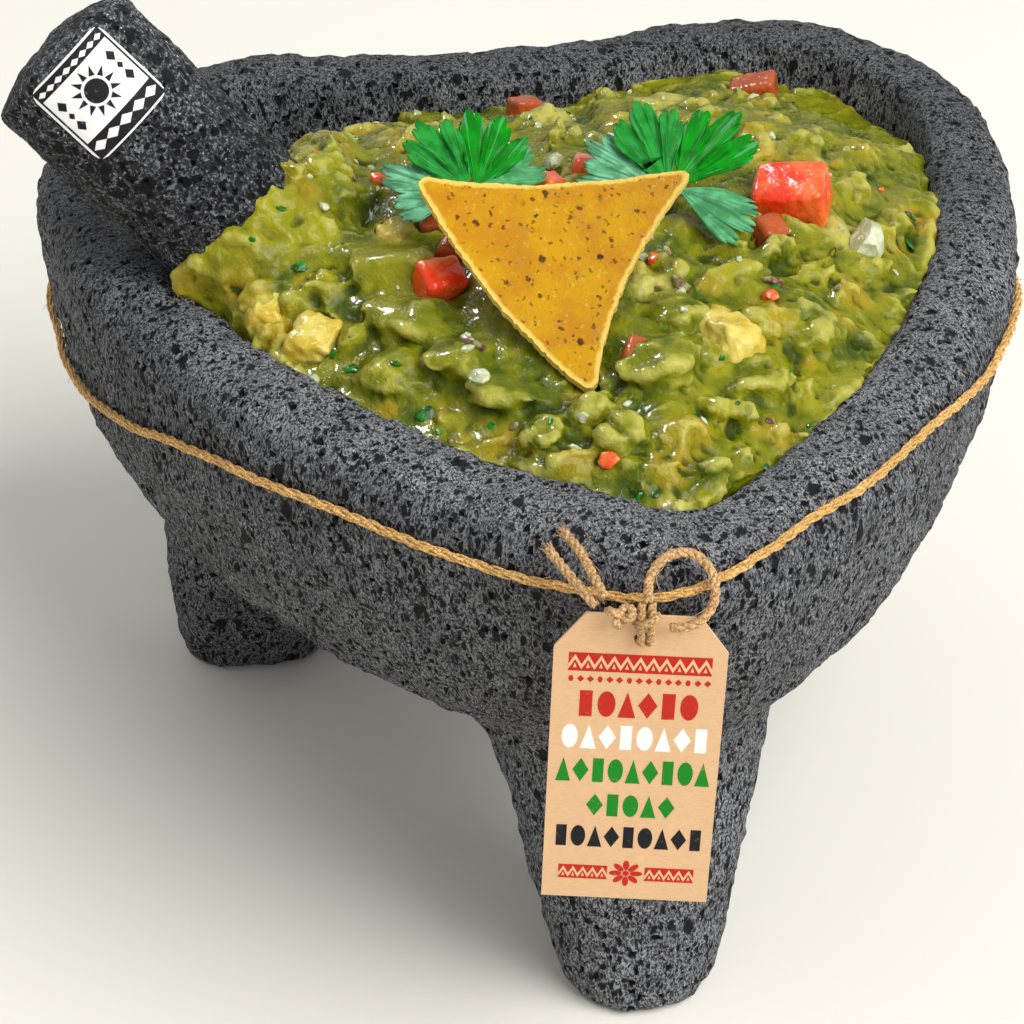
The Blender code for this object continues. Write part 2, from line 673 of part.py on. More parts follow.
def twine_route():
    """The taut line round the wall and the rim's outer round; it bridges the notch."""
    cx, cy = BOWL_CENTRE
    stand_off = TWINE_RADIUS + GAP
    wall_top = RIM_HEIGHT - RIM_OUTER_ROUND
    route = []
    for x, y, nx, ny in OUTLINE:
        z = RIM_HEIGHT - twine_drop(x, y)
        slope = math.asin(max(0.0, (z - wall_top) / RIM_OUTER_ROUND))
        reach = stand_off * math.cos(slope) - RIM_OUTER_ROUND * (1 - math.cos(slope))
        fall = max(0.0, (wall_top - z) / (wall_top - UNDERSIDE_Z))
        scale = wall_scale(fall)
        route.append((swollen(cx + (x - cx) * scale, fall) + nx * reach,
                      cy + (y - cy) * scale + ny * reach, z + stand_off * math.sin(slope)))
    order = convex_hull_2d([Vector(point[:2]) for point in route])
    return [route[i] for i in order]


def smooth_route(points, step):
    """Points at an even step along a smooth curve through the route's own points."""
    points = [Vector(point) for point in points]
    ends = [2 * points[0] - points[1]] + points + [2 * points[-1] - points[-2]]
    fine = []
    for a, b, c, d in zip(ends, ends[1:], ends[2:], ends[3:]):
        for i in range(20):
            t = i / 20
            fine.append(0.5 * (2 * b + (c - a) * t + (2 * a - 5 * b + 4 * c - d) * t**2
                               + (3 * b - a - 3 * c + d) * t**3))
    fine.append(points[-1])
    runs = [0.0]
    for a, b in zip(fine, fine[1:]):
        runs.append(runs[-1] + (b - a).length)
    count = max(2, round(runs[-1] / step))
    even = []
    for i in range(count + 1):
        goal = runs[-1] * i / count
        k = min(max(j for j, run in enumerate(runs) if run <= goal + 1e-12), len(fine) - 2)
        even.append(fine[k].lerp(fine[k + 1], (goal - runs[k]) / (runs[k + 1] - runs[k])))
    return even


def build_tag(parts):
    """Kraft tag with a chamfered top and a punched hole. Its frame's origin is the hole."""
    top = TAG_HOLE_DROP
    bottom = TAG_HOLE_DROP - TAG_HEIGHT
    side = TAG_WIDTH / 2
    cut_x, cut_y = TAG_CHAMFER
    outline = [(side, bottom), (side, top - cut_y), (side - cut_x, top),
               (cut_x - side, top), (-side, top - cut_y), (-side, bottom)]
    hole_turns = [math.tau * i / 14 for i in range(14)]
    hole = [(TAG_HOLE_RADIUS * math.cos(turn), TAG_HOLE_RADIUS * math.sin(turn))
            for turn in hole_turns]
    curve = bpy.data.curves.new("hang_tag", "CURVE")
    curve.dimensions = "2D"
    curve.fill_mode = "BOTH"
    curve.extrude = TAG_THICKNESS / 2
    for points in (outline, hole):
        spline = curve.splines.new("POLY")
        spline.points.add(len(points) - 1)
        for place, (x, y) in zip(spline.points, points):
            place.co = (x, y, 0.0, 1.0)
        spline.use_cyclic_u = True
    tag = add_object("hang_tag", curve, "kraft", parts)
    tag.matrix_local = (Matrix.Translation(TAG_HOLE_PLACE)
                        @ Matrix.Rotation(math.radians(TAG_TURN), 4, "Z")
                        @ Matrix.Rotation(math.radians(90), 4, "X")
                        @ Matrix.Rotation(math.radians(-TAG_LEAN), 4, "Z"))


def build_string(parts):
    turn = Matrix.Rotation(math.radians(TAG_TURN), 4, "Z")
    add_tube("string_ring", smooth_route(RING_ROUTE, STRING_STEP), STRING_RADIUS, "string", parts)
    add_tube("string_tail_upper", smooth_route(UPPER_TAIL_ROUTE, STRING_STEP), STRING_RADIUS,
             "string", parts)
    add_tube("string_tail_lower", smooth_route(LOWER_TAIL_ROUTE, STRING_STEP), STRING_RADIUS,
             "string", parts)
    hitch = add_object("string_hitch", dice_mesh("string_hitch", HITCH_SIZE, 0.0), "string", parts)
    hitch.matrix_local = Matrix.Translation(HITCH_PLACE) @ turn
    knot = add_object("string_knot", chunk_mesh("string_knot", KNOT_SIZE, 0.0), "string", parts)
    knot.matrix_local = Matrix.Translation(KNOT_PLACE) @ turn


# ---------------------------------------------------------------- assembly
def move_origin_under_middle(parts, middle):
    """Shift all pieces so that the box of the object without its loose string is centred."""
    bpy.context.view_layer.update()
    graph = bpy.context.evaluated_depsgraph_get()
    corners = []
    for item in parts.objects:
        if item.name not in CORD_NAMES:
            shape = item.evaluated_get(graph)
            mesh = shape.to_mesh()
            corners += [shape.matrix_world @ vert.co for vert in mesh.vertices]
            shape.to_mesh_clear()
    low = [min(corner[i] for corner in corners) for i in range(3)]
    high = [max(corner[i] for corner in corners) for i in range(3)]
    middle.location = (-(low[0] + high[0]) / 2, -(low[1] + high[1]) / 2, -low[2])


def main():
    clear_scene()
    parts = new_collection("guacamole_in_stone_mortar")
    cutters = new_collection("cutters")
    garnish_cutters = new_collection("garnish_cutters")
    middle = bpy.data.objects.new("middle_of_base", None)
    bpy.context.scene.collection.objects.link(middle)
    build_bowl(parts, cutters)
    add_pestle("tejolote_pestle", 0.0, "stone", parts)
    add_pestle("pestle_cutter", GAP, None, garnish_cutters)
    build_sticker(parts)
    build_chip(parts, garnish_cutters)
    build_toppings(parts, garnish_cutters)
    build_sprigs(parts)
    build_guacamole(parts, cutters, garnish_cutters)
    add_tube("twine_band", twine_route(), TWINE_RADIUS, "twine", parts, 1, cyclic=True)
    build_tag(parts)
    build_string(parts)
    move_origin_under_middle(parts, middle)


main()
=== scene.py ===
"""Looks of the guacamole in its heart-shaped volcanic-stone mortar.

Metres, +Z up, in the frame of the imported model. The heart's tip points to -Y. Laid out as a Blender
add-on and run as a script: each operator makes one piece or one group of like pieces.
"""
import math
import random

import bmesh
import bpy
import numpy as np
from bpy.props import FloatProperty, FloatVectorProperty, IntProperty, PointerProperty
from mathutils import Matrix, Quaternion, Vector, noise
from mathutils.bvhtree import BVHTree
from mathutils.kdtree import KDTree


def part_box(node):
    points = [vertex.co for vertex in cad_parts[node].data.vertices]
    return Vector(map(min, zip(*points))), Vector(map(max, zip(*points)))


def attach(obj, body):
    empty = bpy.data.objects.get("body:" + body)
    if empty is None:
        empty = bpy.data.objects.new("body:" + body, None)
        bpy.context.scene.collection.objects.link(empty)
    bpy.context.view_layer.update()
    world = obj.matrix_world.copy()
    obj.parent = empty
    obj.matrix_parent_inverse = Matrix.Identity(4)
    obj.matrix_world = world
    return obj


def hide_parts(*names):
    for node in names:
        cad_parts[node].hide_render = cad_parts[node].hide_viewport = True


bl_info = {
    "name": "Guacamole in a Stone Mortar",
    "version": (1, 0, 0),
    "blender": (4, 5, 0),
    "location": "3D View > Sidebar > Mortar",
    "description": "Builds the mortar, the guacamole, its toppings, the twine and the tag",
    "category": "Object",
}

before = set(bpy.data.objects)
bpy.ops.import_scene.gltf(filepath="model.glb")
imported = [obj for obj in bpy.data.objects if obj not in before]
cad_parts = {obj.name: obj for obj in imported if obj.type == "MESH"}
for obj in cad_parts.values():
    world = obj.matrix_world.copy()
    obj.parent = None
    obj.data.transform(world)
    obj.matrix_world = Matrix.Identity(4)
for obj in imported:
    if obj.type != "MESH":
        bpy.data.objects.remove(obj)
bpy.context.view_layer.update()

# The heart's own centre in the frame: the bowl's lowest x and y are fixed distances from it.
HEART_LEFT = 0.1076
HEART_TIP = 0.1297
BOWL_LOW, BOWL_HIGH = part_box("molcajete_bowl")
HEART_X = BOWL_LOW.x + HEART_LEFT
HEART_Y = BOWL_LOW.y + HEART_TIP
RIM_Z = BOWL_HIGH.z
MM = 0.001


def at_heart(x, y, z):
    """A point given in metres from the heart's centre."""
    return Vector((x + HEART_X, y + HEART_Y, z))


# ---------------------------------------------------------------- settings
def length(title, about, value):
    return FloatProperty(name=title, description=about, default=value, min=0.0, unit="LENGTH",
                         precision=5)


def share(title, about, value):
    return FloatProperty(name=title, description=about, default=value, min=0.0, max=1.0,
                         subtype="FACTOR")


def colour(title, about, value):
    return FloatVectorProperty(name=title, description=about, default=value, min=0.0, max=1.0,
                               size=3, subtype="COLOR")


class StageSettings(bpy.types.PropertyGroup):
    floor: colour("Floor", "Colour of the floor", (0.905, 0.874, 0.790))
    floor_size: length("Floor size", "Side of the square floor", 6.0)
    key: FloatProperty(name="Key light", description="Power of the large soft light",
                       default=112.0, unit="POWER")
    glint: FloatProperty(name="Glint light", description="Power of the small light behind",
                         default=38.0, unit="POWER")
    ambient: FloatProperty(name="Ambient", description="Strength of the light from all round",
                           default=0.54, min=0.0)


class StoneSettings(bpy.types.PropertyGroup):
    skin: length("Skin step", "Side of a face on the bowl's skin", 0.0015)
    pestle_skin: length("Pestle skin step", "Side of a face on the pestle's skin", 0.0011)
    pores: IntProperty(name="Pores", description="Number of modelled pores in the bowl",
                       default=6500, min=0)
    pestle_pores: IntProperty(name="Pestle pores", description="Number of pores in the pestle",
                              default=1500, min=0)
    pore_depth: length("Pore depth", "Depth of a modelled pore", 0.0009)
    light: colour("Light stone", "Colour of the stone's high grains", (0.285, 0.292, 0.311))
    dark: colour("Dark stone", "Colour of the stone's low grains", (0.036, 0.037, 0.041))
    # Painted shade: the colour painted deep in the pores for the shadow inside them.
    pore: colour("Pore", "Colour deep in a pore", (0.0065, 0.0068, 0.0082))
    speck: colour("Speck", "Colour of the pale crystals", (0.50, 0.51, 0.53))


class GuacamoleSettings(bpy.types.PropertyGroup):
    skin: length("Skin step", "Side of a face on the guacamole's skin", 0.00085)
    lumps: IntProperty(name="Lumps", description="Number of scattered lumps", default=430, min=0)
    # The deep and light mash and the cream are also laid on as painted shade in the hollows and painted
    # light and highlights on the ridges; the dark colour is only painted shade between the lumps.
    green: colour("Mash", "Colour of the smooth mash", (0.166, 0.179, 0.004))
    deep: colour("Deep mash", "Colour of the greener mash", (0.063, 0.098, 0.004))
    light: colour("Light mash", "Colour of the lighter mash", (0.365, 0.344, 0.012))
    yellow: colour("Yellow", "Colour of the yellow flesh lumps", (0.515, 0.373, 0.020))
    amber: colour("Amber", "Colour of the riper flesh", (0.465, 0.241, 0.012))
    dark: colour("Dark", "Colour deep between the lumps", (0.026, 0.046, 0.003))
    cream_and_highlight: colour("Cream", "Colour of the pale folds", (0.581, 0.539, 0.133))


class ToppingSettings(bpy.types.PropertyGroup):
    tomato: colour("Tomato", "Colour of the tomato's flesh", (0.900, 0.045, 0.008))
    tomato_light: colour("Tomato light", "Paler colour of cut tomato", (0.950, 0.200, 0.040))
    tomato_deep: colour("Tomato deep", "Colour of riper, sunken tomato", (0.430, 0.075, 0.016))
    avocado: colour("Avocado", "Colour of the avocado pieces", (0.600, 0.430, 0.040))
    avocado_pale: colour("Avocado light", "Creamy colour of the pieces", (0.740, 0.620, 0.150))
    onion: colour("Onion", "Colour of the white onion", (0.420, 0.470, 0.230))
    onion_pale: colour("Onion light", "Paler colour of the white onion", (0.700, 0.720, 0.520))
    red_onion: colour("Red onion", "Colour of the red onion", (0.150, 0.040, 0.030))
    herb: colour("Herb", "Colour of the chopped herb", (0.014, 0.060, 0.008))
    leaf: colour("Leaf", "Colour of the rich green leaflets", (0.004, 0.285, 0.008))
    leaf_pale: colour("Pale leaf", "Colour of the grey-green leaflets", (0.190, 0.540, 0.300))


class ChipSettings(bpy.types.PropertyGroup):
    thickness: length("Thickness", "Thickness of the chip", 0.0018)
    golden: colour("Golden", "Colour of the fried face", (0.560, 0.285, 0.001))
    deep: colour("Deep", "Colour of the darker fried patches", (0.470, 0.165, 0.001))
    edge: colour("Edge", "Colour of the crumbly edge", (0.780, 0.540, 0.110))
    char: colour("Char", "Colour of the specks", (0.050, 0.014, 0.003))


class CordSettings(bpy.types.PropertyGroup):
    string_radius: length("String radius", "Half of the string's thickness", 0.0010)
    twine_radius: length("Twine radius", "Half of the twine's thickness", 0.00106)
    pitch: length("Pitch", "Length of one full twist", 0.0096)
    twine: colour("Twine", "Colour of the band round the bowl", (0.800, 0.450, 0.140))
    string: colour("String", "Colour of the tag's string", (0.620, 0.370, 0.160))


class TagSettings(bpy.types.PropertyGroup):
    kraft: colour("Kraft", "Colour of the card", (0.820, 0.520, 0.285))
    red: colour("Red", "Colour of the red print", (0.520, 0.024, 0.012))
    green: colour("Green", "Colour of the green print", (0.010, 0.230, 0.016))
    white: colour("White", "Colour of the white print", (0.880, 0.870, 0.840))
    black: colour("Black", "Colour of the black print", (0.012, 0.012, 0.014))
    relief: length("Relief", "Height of the print over the card", 0.00006)


SETTINGS = (("stage", StageSettings), ("stone", StoneSettings), ("guacamole", GuacamoleSettings),
            ("toppings", ToppingSettings), ("chip", ChipSettings), ("cords", CordSettings),
            ("tag", TagSettings))


def setting(group):
    return getattr(bpy.context.scene, "mortar_" + group)


# ---------------------------------------------------------------- mesh helpers
def merged_copy(node):
    """A node's mesh as a bmesh with its loose triangles joined up."""
    bm = bmesh.new()
    bm.from_mesh(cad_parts[node].data)
    bmesh.ops.remove_doubles(bm, verts=bm.verts, dist=0.00001)
    return bm


def surface_tree(node):
    """A node's surface, to cast rays at and to measure distances from."""
    bm = merged_copy(node)
    tree = BVHTree.FromBMesh(bm)
    bm.free()
    return tree


def add_piece(name, bm, finishes, stands_for=(), sharp=None):
    """Makes a finished piece of a bmesh. It rides on the object's one body."""
    mesh = bpy.data.meshes.new(name)
    bm.to_mesh(mesh)
    bm.free()
    for finish in finishes:
        mesh.materials.append(finish)
    mesh.shade_smooth()
    if sharp:
        mesh.set_sharp_from_angle(angle=math.radians(sharp))
    piece = bpy.data.objects.new(name, mesh)
    bpy.context.scene.collection.objects.link(piece)
    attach(piece, "root")
    if stands_for:
        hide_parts(*stands_for)
    return piece


def evaluated_bmesh(bm, add_modifiers):
    """The bmesh after modifiers that a function puts on a passing object."""
    mesh = bpy.data.meshes.new("passing")
    bm.to_mesh(mesh)
    bm.free()
    holder = bpy.data.objects.new("passing", mesh)
    bpy.context.scene.collection.objects.link(holder)
    add_modifiers(holder)
    graph = bpy.context.evaluated_depsgraph_get()
    done = bpy.data.meshes.new_from_object(holder.evaluated_get(graph))
    bpy.data.objects.remove(holder)
    bpy.data.meshes.remove(mesh)
    fresh = bmesh.new()
    fresh.from_mesh(done)
    bpy.data.meshes.remove(done)
    return fresh


def voxel_skin(bm, step):
    """One closed skin round all the closed shapes in a bmesh."""
    def add_remesh(holder):
        remesh = holder.modifiers.new("skin", "REMESH")
        remesh.mode = "VOXEL"
        remesh.voxel_size = step
    return evaluated_bmesh(bm, add_remesh)


def thin_out(bm, hidden, ratio):
    """Thins the faces round the vertices that can't be seen."""
    bm.verts.index_update()
    chosen = [vert.index for vert in bm.verts if hidden(vert.co)]

    def add_decimate(holder):
        group = holder.vertex_groups.new(name="hidden")
        group.add(chosen, 1.0, "REPLACE")
        thin = holder.modifiers.new("thin", "DECIMATE")
        thin.vertex_group = "hidden"
        thin.ratio = ratio
    return evaluated_bmesh(bm, add_decimate)


def push(bm, distance_of):
    """Moves each vertex along its normal by a function of its place and normal."""
    bm.normal_update()
    for vert in bm.verts:
        vert.co += vert.normal * distance_of(vert.co, vert.normal)


def ease(value, low, high):
    """0 up to the low value, 1 from the high one on and a soft step between them."""
    part = min(max((value - low) / (high - low), 0.0), 1.0)
    return part * part * (3.0 - 2.0 * part)


def paint(piece, name, values):
    """Stores one number, or one colour, for each vertex of a piece."""
    values = np.asarray(values, np.float32)
    kind = "FLOAT" if values.ndim == 1 else "FLOAT_COLOR"
    layer = piece.data.attributes.new(name, kind, "POINT")
    layer.data.foreach_set("value" if kind == "FLOAT" else "color", values.ravel())


def neighbour_mean(places, ends):
    """The mean of each place and of the places it has an edge to."""
    count = len(places)
    total = places.copy()
    for axis in range(3):
        total[:, axis] += np.bincount(ends[:, 0], places[ends[:, 1], axis], count)
        total[:, axis] += np.bincount(ends[:, 1], places[ends[:, 0], axis], count)
    return total / (np.bincount(ends.ravel(), minlength=count)[:, None] + 1.0)


def creases(mesh, rounds, reach):
    """-1 on ridges to 1 in hollows, from how far each vertex lies below its surroundings."""
    count = len(mesh.vertices)
    places = np.empty(count * 3)
    mesh.vertices.foreach_get("co", places)
    normals = np.empty(count * 3)
    mesh.vertex_normals.foreach_get("vector", normals)
    ends = np.empty(len(mesh.edges) * 2, np.int32)
    mesh.edges.foreach_get("vertices", ends)
    even = places = places.reshape(-1, 3)
    for _ in range(rounds):
        even = neighbour_mean(even, ends.reshape(-1, 2))
    depth = ((even - places) * normals.reshape(-1, 3)).sum(1)
    return np.clip(depth / reach, -1.0, 1.0)


# ---------------------------------------------------------------- node helpers
class Bench:
    """Adds and joins the nodes of one material or node group."""

    def __init__(self, tree):
        self.tree = tree

    def add(self, kind, inputs=None, **values):
        node = self.tree.nodes.new("ShaderNode" + kind)
        for key, value in values.items():
            setattr(node, key, value)
        for key, value in (inputs or {}).items():
            self.feed(node.inputs[key], value)
        return node

    def feed(self, socket, value):
        if isinstance(value, bpy.types.NodeSocket):
            self.tree.links.new(value, socket)
        elif socket.type == "RGBA" and len(value) == 3:
            socket.default_value = (*value, 1.0)
        else:
            socket.default_value = value

    def place(self):
        return self.add("TexCoord").outputs["Object"]

    def moved(self, vector, scale=(1.0, 1.0, 1.0), turn=(0.0, 0.0, 0.0)):
        return self.add("Mapping", {"Vector": vector, "Scale": scale,
                                    "Rotation": turn}).outputs["Vector"]

    def noise(self, vector, size, detail=2.0, warp=0.0):
        """Noise whose lumps are about as large as the size in metres."""
        return self.add("TexNoise", {"Vector": vector, "Scale": 1.0 / size, "Detail": detail,
                                     "Distortion": warp})

    def maths(self, operation, first, second=0.0, clamp=False):
        return self.add("Math", {0: first, 1: second}, operation=operation,
                        use_clamp=clamp).outputs[0]

    def window(self, value, low, high, start=0.0, end=1.0):
        """Eases from one value to another while the input goes from low to high."""
        return self.add("MapRange", {"Value": value, "From Min": low, "From Max": high,
                                     "To Min": start, "To Max": end},
                        interpolation_type="SMOOTHSTEP").outputs["Result"]

    def mix(self, factor, first, second):
        node = self.add("Mix", data_type="RGBA", clamp_factor=True)
        for index, value in ((0, factor), (6, first), (7, second)):
            self.feed(node.inputs[index], value)
        return node.outputs[2]

    def attribute(self, name):
        return self.add("Attribute", attribute_name=name)

    def group(self, tree, inputs):
        node = self.add("Group", node_tree=tree)
        for key, value in inputs.items():
            self.feed(node.inputs[key], value)
        return node.outputs


def node_group(name, inputs, outputs):
    """An empty shader node group with float and vector sockets."""
    tree = bpy.data.node_groups.new(name, "ShaderNodeTree")
    for title, value in inputs:
        kind = "NodeSocketVector" if value is None else "NodeSocketFloat"
        socket = tree.interface.new_socket(title, in_out="INPUT", socket_type=kind)
        if value is not None:
            socket.default_value = value
    for title in outputs:
        tree.interface.new_socket(title, in_out="OUTPUT", socket_type="NodeSocketFloat")
    entry = tree.nodes.new("NodeGroupInput").outputs
    leave = tree.nodes.new("NodeGroupOutput").inputs
    return tree, Bench(tree), entry, leave


def material(name, **shader_values):
    """A material with a Principled shader whose constant sockets are set."""
    made = bpy.data.materials.new(name)
    made.use_nodes = True
    shader = made.node_tree.nodes["Principled BSDF"]
    bench = Bench(made.node_tree)
    for title, value in shader_values.items():
        bench.feed(shader.inputs[title.replace("_", " ")], value)
    return made, bench, shader.inputs


def bump(bench, height, distance, strength):
    return bench.add("Bump", {"Height": height, "Distance": distance,
                              "Strength": strength}).outputs["Normal"]


def pores_group():
    """Open pores of three sizes, pale crystals and fine grain, as in cooled lava."""
    if "lava_pores" in bpy.data.node_groups:
        return bpy.data.node_groups["lava_pores"]
    tree, bench, entry, leave = node_group(
        "lava_pores", (("Vector", None), ("Spacing", 0.0024), ("Share", 0.6), ("Warp", 0.5)),
        ("Pore", "Speck", "Grain", "Height"))
    place = bench.add("VectorMath", {0: entry["Vector"]}, operation="DIVIDE")
    bench.feed(place.inputs[1], bench.add("CombineXYZ", {
        "X": entry["Spacing"], "Y": entry["Spacing"], "Z": entry["Spacing"]}).outputs[0])
    place = place.outputs[0]
    sway = bench.add("VectorMath", {0: bench.add("TexNoise", {"Vector": place, "Scale": 0.9,
                                                              "Detail": 2.0}).outputs["Color"],
                                    1: (0.5, 0.5, 0.5)}, operation="SUBTRACT").outputs[0]
    sway = bench.add("VectorMath", {0: sway, "Scale": entry["Warp"]},
                     operation="SCALE").outputs[0]
    swayed = bench.add("VectorMath", {0: place, 1: sway}, operation="ADD").outputs[0]
    masks = []
    for scale, reach, kept in ((0.42, 0.46, 0.40), (1.0, 0.56, 1.0), (2.15, 0.60, 1.0)):
        cells = bench.add("TexVoronoi", {"Vector": swayed, "Scale": scale, "Randomness": 1.0})
        pick = bench.add("SeparateColor", {"Color": cells.outputs["Color"]}).outputs[0]
        lowest = bench.maths("SUBTRACT", 1.0, bench.maths("MULTIPLY", entry["Share"], kept))
        size = bench.add("MapRange", {"Value": pick, "From Min": lowest, "From Max": 1.0,
                                      "To Min": 0.0, "To Max": reach}).outputs["Result"]
        inside = bench.maths("SUBTRACT", size, cells.outputs["Distance"])
        masks.append(bench.window(inside, -0.05, 0.10))
    small = bench.maths("MULTIPLY", masks[2], 0.85)
    pore = bench.maths("MAXIMUM", bench.maths("MAXIMUM", masks[0], masks[1]), small)
    crystals = bench.add("TexVoronoi", {"Vector": place, "Scale": 3.1, "Randomness": 1.0})
    rare = bench.add("SeparateColor", {"Color": crystals.outputs["Color"]}).outputs[1]
    speck = bench.maths("MULTIPLY", bench.window(rare, 0.80, 0.92),
                        bench.window(crystals.outputs["Distance"], 0.42, 0.20))
    speck = bench.maths("MULTIPLY", speck, bench.maths("SUBTRACT", 1.0, pore))
    grain = bench.add("TexNoise", {"Vector": swayed, "Scale": 2.7, "Detail": 4.0,
                                   "Roughness": 0.75}).outputs[0]
    height = bench.maths("SUBTRACT", bench.maths("MULTIPLY", grain, 0.55), pore)
    for title, value in (("Pore", pore), ("Speck", speck), ("Grain", grain), ("Height", height)):
        bench.feed(leave[title], value)
    return tree


def mottle_group():
    """Soft patches of two sizes, for food whose colour drifts."""
    if "mottle" in bpy.data.node_groups:
        return bpy.data.node_groups["mottle"]
    tree, bench, entry, leave = node_group(
        "mottle", (("Vector", None), ("Patch", 0.006), ("Fleck", 0.0012)), ("Patches", "Flecks"))
    for title, key, detail, low, high in (("Patches", "Patch", 3.0, 0.38, 0.64),
                                          ("Flecks", "Fleck", 2.0, 0.60, 0.74)):
        field = bench.add("TexNoise", {"Vector": entry["Vector"], "Detail": detail,
                                       "Scale": bench.maths("DIVIDE", 1.0, entry[key])})
        bench.feed(leave[title], bench.window(field.outputs[0], low, high))
    return tree


# ---------------------------------------------------------------- camera and stage
CAMERA_PLACE = (-0.1336, -0.5717, 0.4645)
CAMERA_TARGET = (-0.0088, 0.0012, 0.0618)
CAMERA_ROLL = 0.13
CAMERA_LENS = 109.67
LIGHTS_AIM = (0.0, 0.0, 0.10)
KEY_PLACE, KEY_SIZE = (1.35, -1.75, 2.45), 2.75
GLINT_PLACE, GLINT_SIZE = (-0.60, 1.00, 1.60), 0.26
SKY_COLOUR = (0.985, 0.99, 1.0, 1.0)


def add_camera():
    data = bpy.data.cameras.new("table_view")
    data.lens = CAMERA_LENS
    data.sensor_width = 36.0
    data.clip_start = 0.05
    camera = bpy.data.objects.new("table_view", data)
    bpy.context.scene.collection.objects.link(camera)
    camera.location = at_heart(*CAMERA_PLACE)
    way = at_heart(*CAMERA_TARGET) - camera.location
    camera.rotation_mode = "QUATERNION"
    camera.rotation_quaternion = (way.to_track_quat("-Z", "Y")
                                  @ Quaternion((0.0, 0.0, 1.0), math.radians(CAMERA_ROLL)))
    bpy.context.scene.camera = camera


def add_area_light(name, place, target, size, power, lights_matt):
    """A round soft light. One that doesn't light matt surfaces shows only as a gloss."""
    data = bpy.data.lights.new(name, "AREA")
    data.shape = "DISK"
    data.size = size
    data.energy = power
    light = bpy.data.objects.new(name, data)
    bpy.context.scene.collection.objects.link(light)
    light.visible_diffuse = lights_matt
    light.location = place
    light.rotation_mode = "QUATERNION"
    light.rotation_quaternion = (target - place).to_track_quat("-Z", "Y")


class MORTAR_OT_stage(bpy.types.Operator):
    """Adds the camera, the soft lights and the plain floor"""
    bl_idname = "mortar.stage"
    bl_label = "Stage"

    def execute(self, context):
        values = setting("stage")
        add_camera()
        aim = at_heart(*LIGHTS_AIM)
        add_area_light("key", at_heart(*KEY_PLACE), aim, KEY_SIZE, values.key, True)
        add_area_light("glint", at_heart(*GLINT_PLACE), aim, GLINT_SIZE, values.glint, False)
        world = bpy.data.worlds.new("studio")
        world.use_nodes = True
        sky = world.node_tree.nodes["Background"].inputs
        sky["Color"].default_value = SKY_COLOUR
        sky["Strength"].default_value = values.ambient
        context.scene.world = world
        context.scene.view_settings.view_transform = "Standard"
        bm = bmesh.new()
        bmesh.ops.create_grid(bm, x_segments=1, y_segments=1, size=values.floor_size / 2)
        mesh = bpy.data.meshes.new("floor")
        bm.to_mesh(mesh)
        bm.free()
        finish, _, _ = material("floor_paper", Base_Color=values.floor, Roughness=0.9,
                                Specular_IOR_Level=0.1)
        mesh.materials.append(finish)
        floor = bpy.data.objects.new("floor", mesh)
        context.scene.collection.objects.link(floor)
        return {"FINISHED"}


# ---------------------------------------------------------------- string and twine
# Centrelines of the tag's string, from the heart's centre.
RING_ROUTE = (
    (-0.0130, -0.1336, 0.1333), (-0.0126, -0.1322, 0.1368), (-0.0106, -0.1304, 0.1390),
    (-0.0072, -0.1291, 0.1400), (-0.0036, -0.1292, 0.1394), (-0.0010, -0.1310, 0.1371),
    (-0.0006, -0.1338, 0.1338), (-0.0022, -0.1356, 0.1307), (-0.0056, -0.1363, 0.1288),
    (-0.0092, -0.1356, 0.1283),
)
UPPER_TAIL_ROUTE = (
    (-0.0206, -0.1318, 0.1342), (-0.0220, -0.1278, 0.1366), (-0.0231, -0.1228, 0.1384),
    (-0.0248, -0.1172, 0.1390),
)
LOWER_TAIL_ROUTE = (
    (-0.0222, -0.1312, 0.1322), (-0.0246, -0.1278, 0.1346), (-0.0266, -0.1238, 0.1362),
    (-0.0282, -0.1190, 0.1372),
)
HITCH_PLACE = (-0.0132, -0.1336, 0.1290)
KNOT_PLACE = (-0.0181, -0.1335, 0.1310)
STRAND_STEP = 0.0006
STRANDS = 3
STRAND_SHARE = 0.54     # a strand's thickness as a share of its cord's


def smooth_route(points, step, closed=False):
    """Points at an even step along a smooth curve through the route's own points."""
    points = [Vector(point) for point in points]
    if closed:
        ends = [points[-1]] + points + points[:2]
    else:
        ends = [2 * points[0] - points[1]] + points + [2 * points[-1] - points[-2]]
    fine = []
    for a, b, c, d in zip(ends, ends[1:], ends[2:], ends[3:]):
        for i in range(20):
            t = i / 20
            fine.append(0.5 * (2 * b + (c - a) * t + (2 * a - 5 * b + 4 * c - d) * t**2
                               + (3 * b - a - 3 * c + d) * t**3))
    fine.append(ends[-2])
    runs = np.cumsum([0.0] + [(b - a).length for a, b in zip(fine, fine[1:])])
    count = max(2, round(runs[-1] / step))
    goals = np.linspace(0.0, runs[-1], count + 1)
    axes = [np.interp(goals, runs, [point[i] for point in fine]) for i in range(3)]
    return [Vector(place) for place in zip(*axes)], float(runs[-1])


def twist_round(route, offset, pitch, phase):
    """A strand's centreline that winds round a route at an offset from it."""
    strand = []
    side = (route[1] - route[0]).orthogonal().normalized()
    run = 0.0
    for i, point in enumerate(route):
        ahead = route[min(i + 1, len(route) - 1)] - route[max(i - 1, 0)]
        ahead.normalize()
        side = (side - ahead * side.dot(ahead)).normalized()
        angle = phase + math.tau * run / pitch
        out = side * math.cos(angle) + ahead.cross(side) * math.sin(angle)
        strand.append(point + out * offset)
        if i + 1 < len(route):
            run += (route[i + 1] - point).length
    return strand


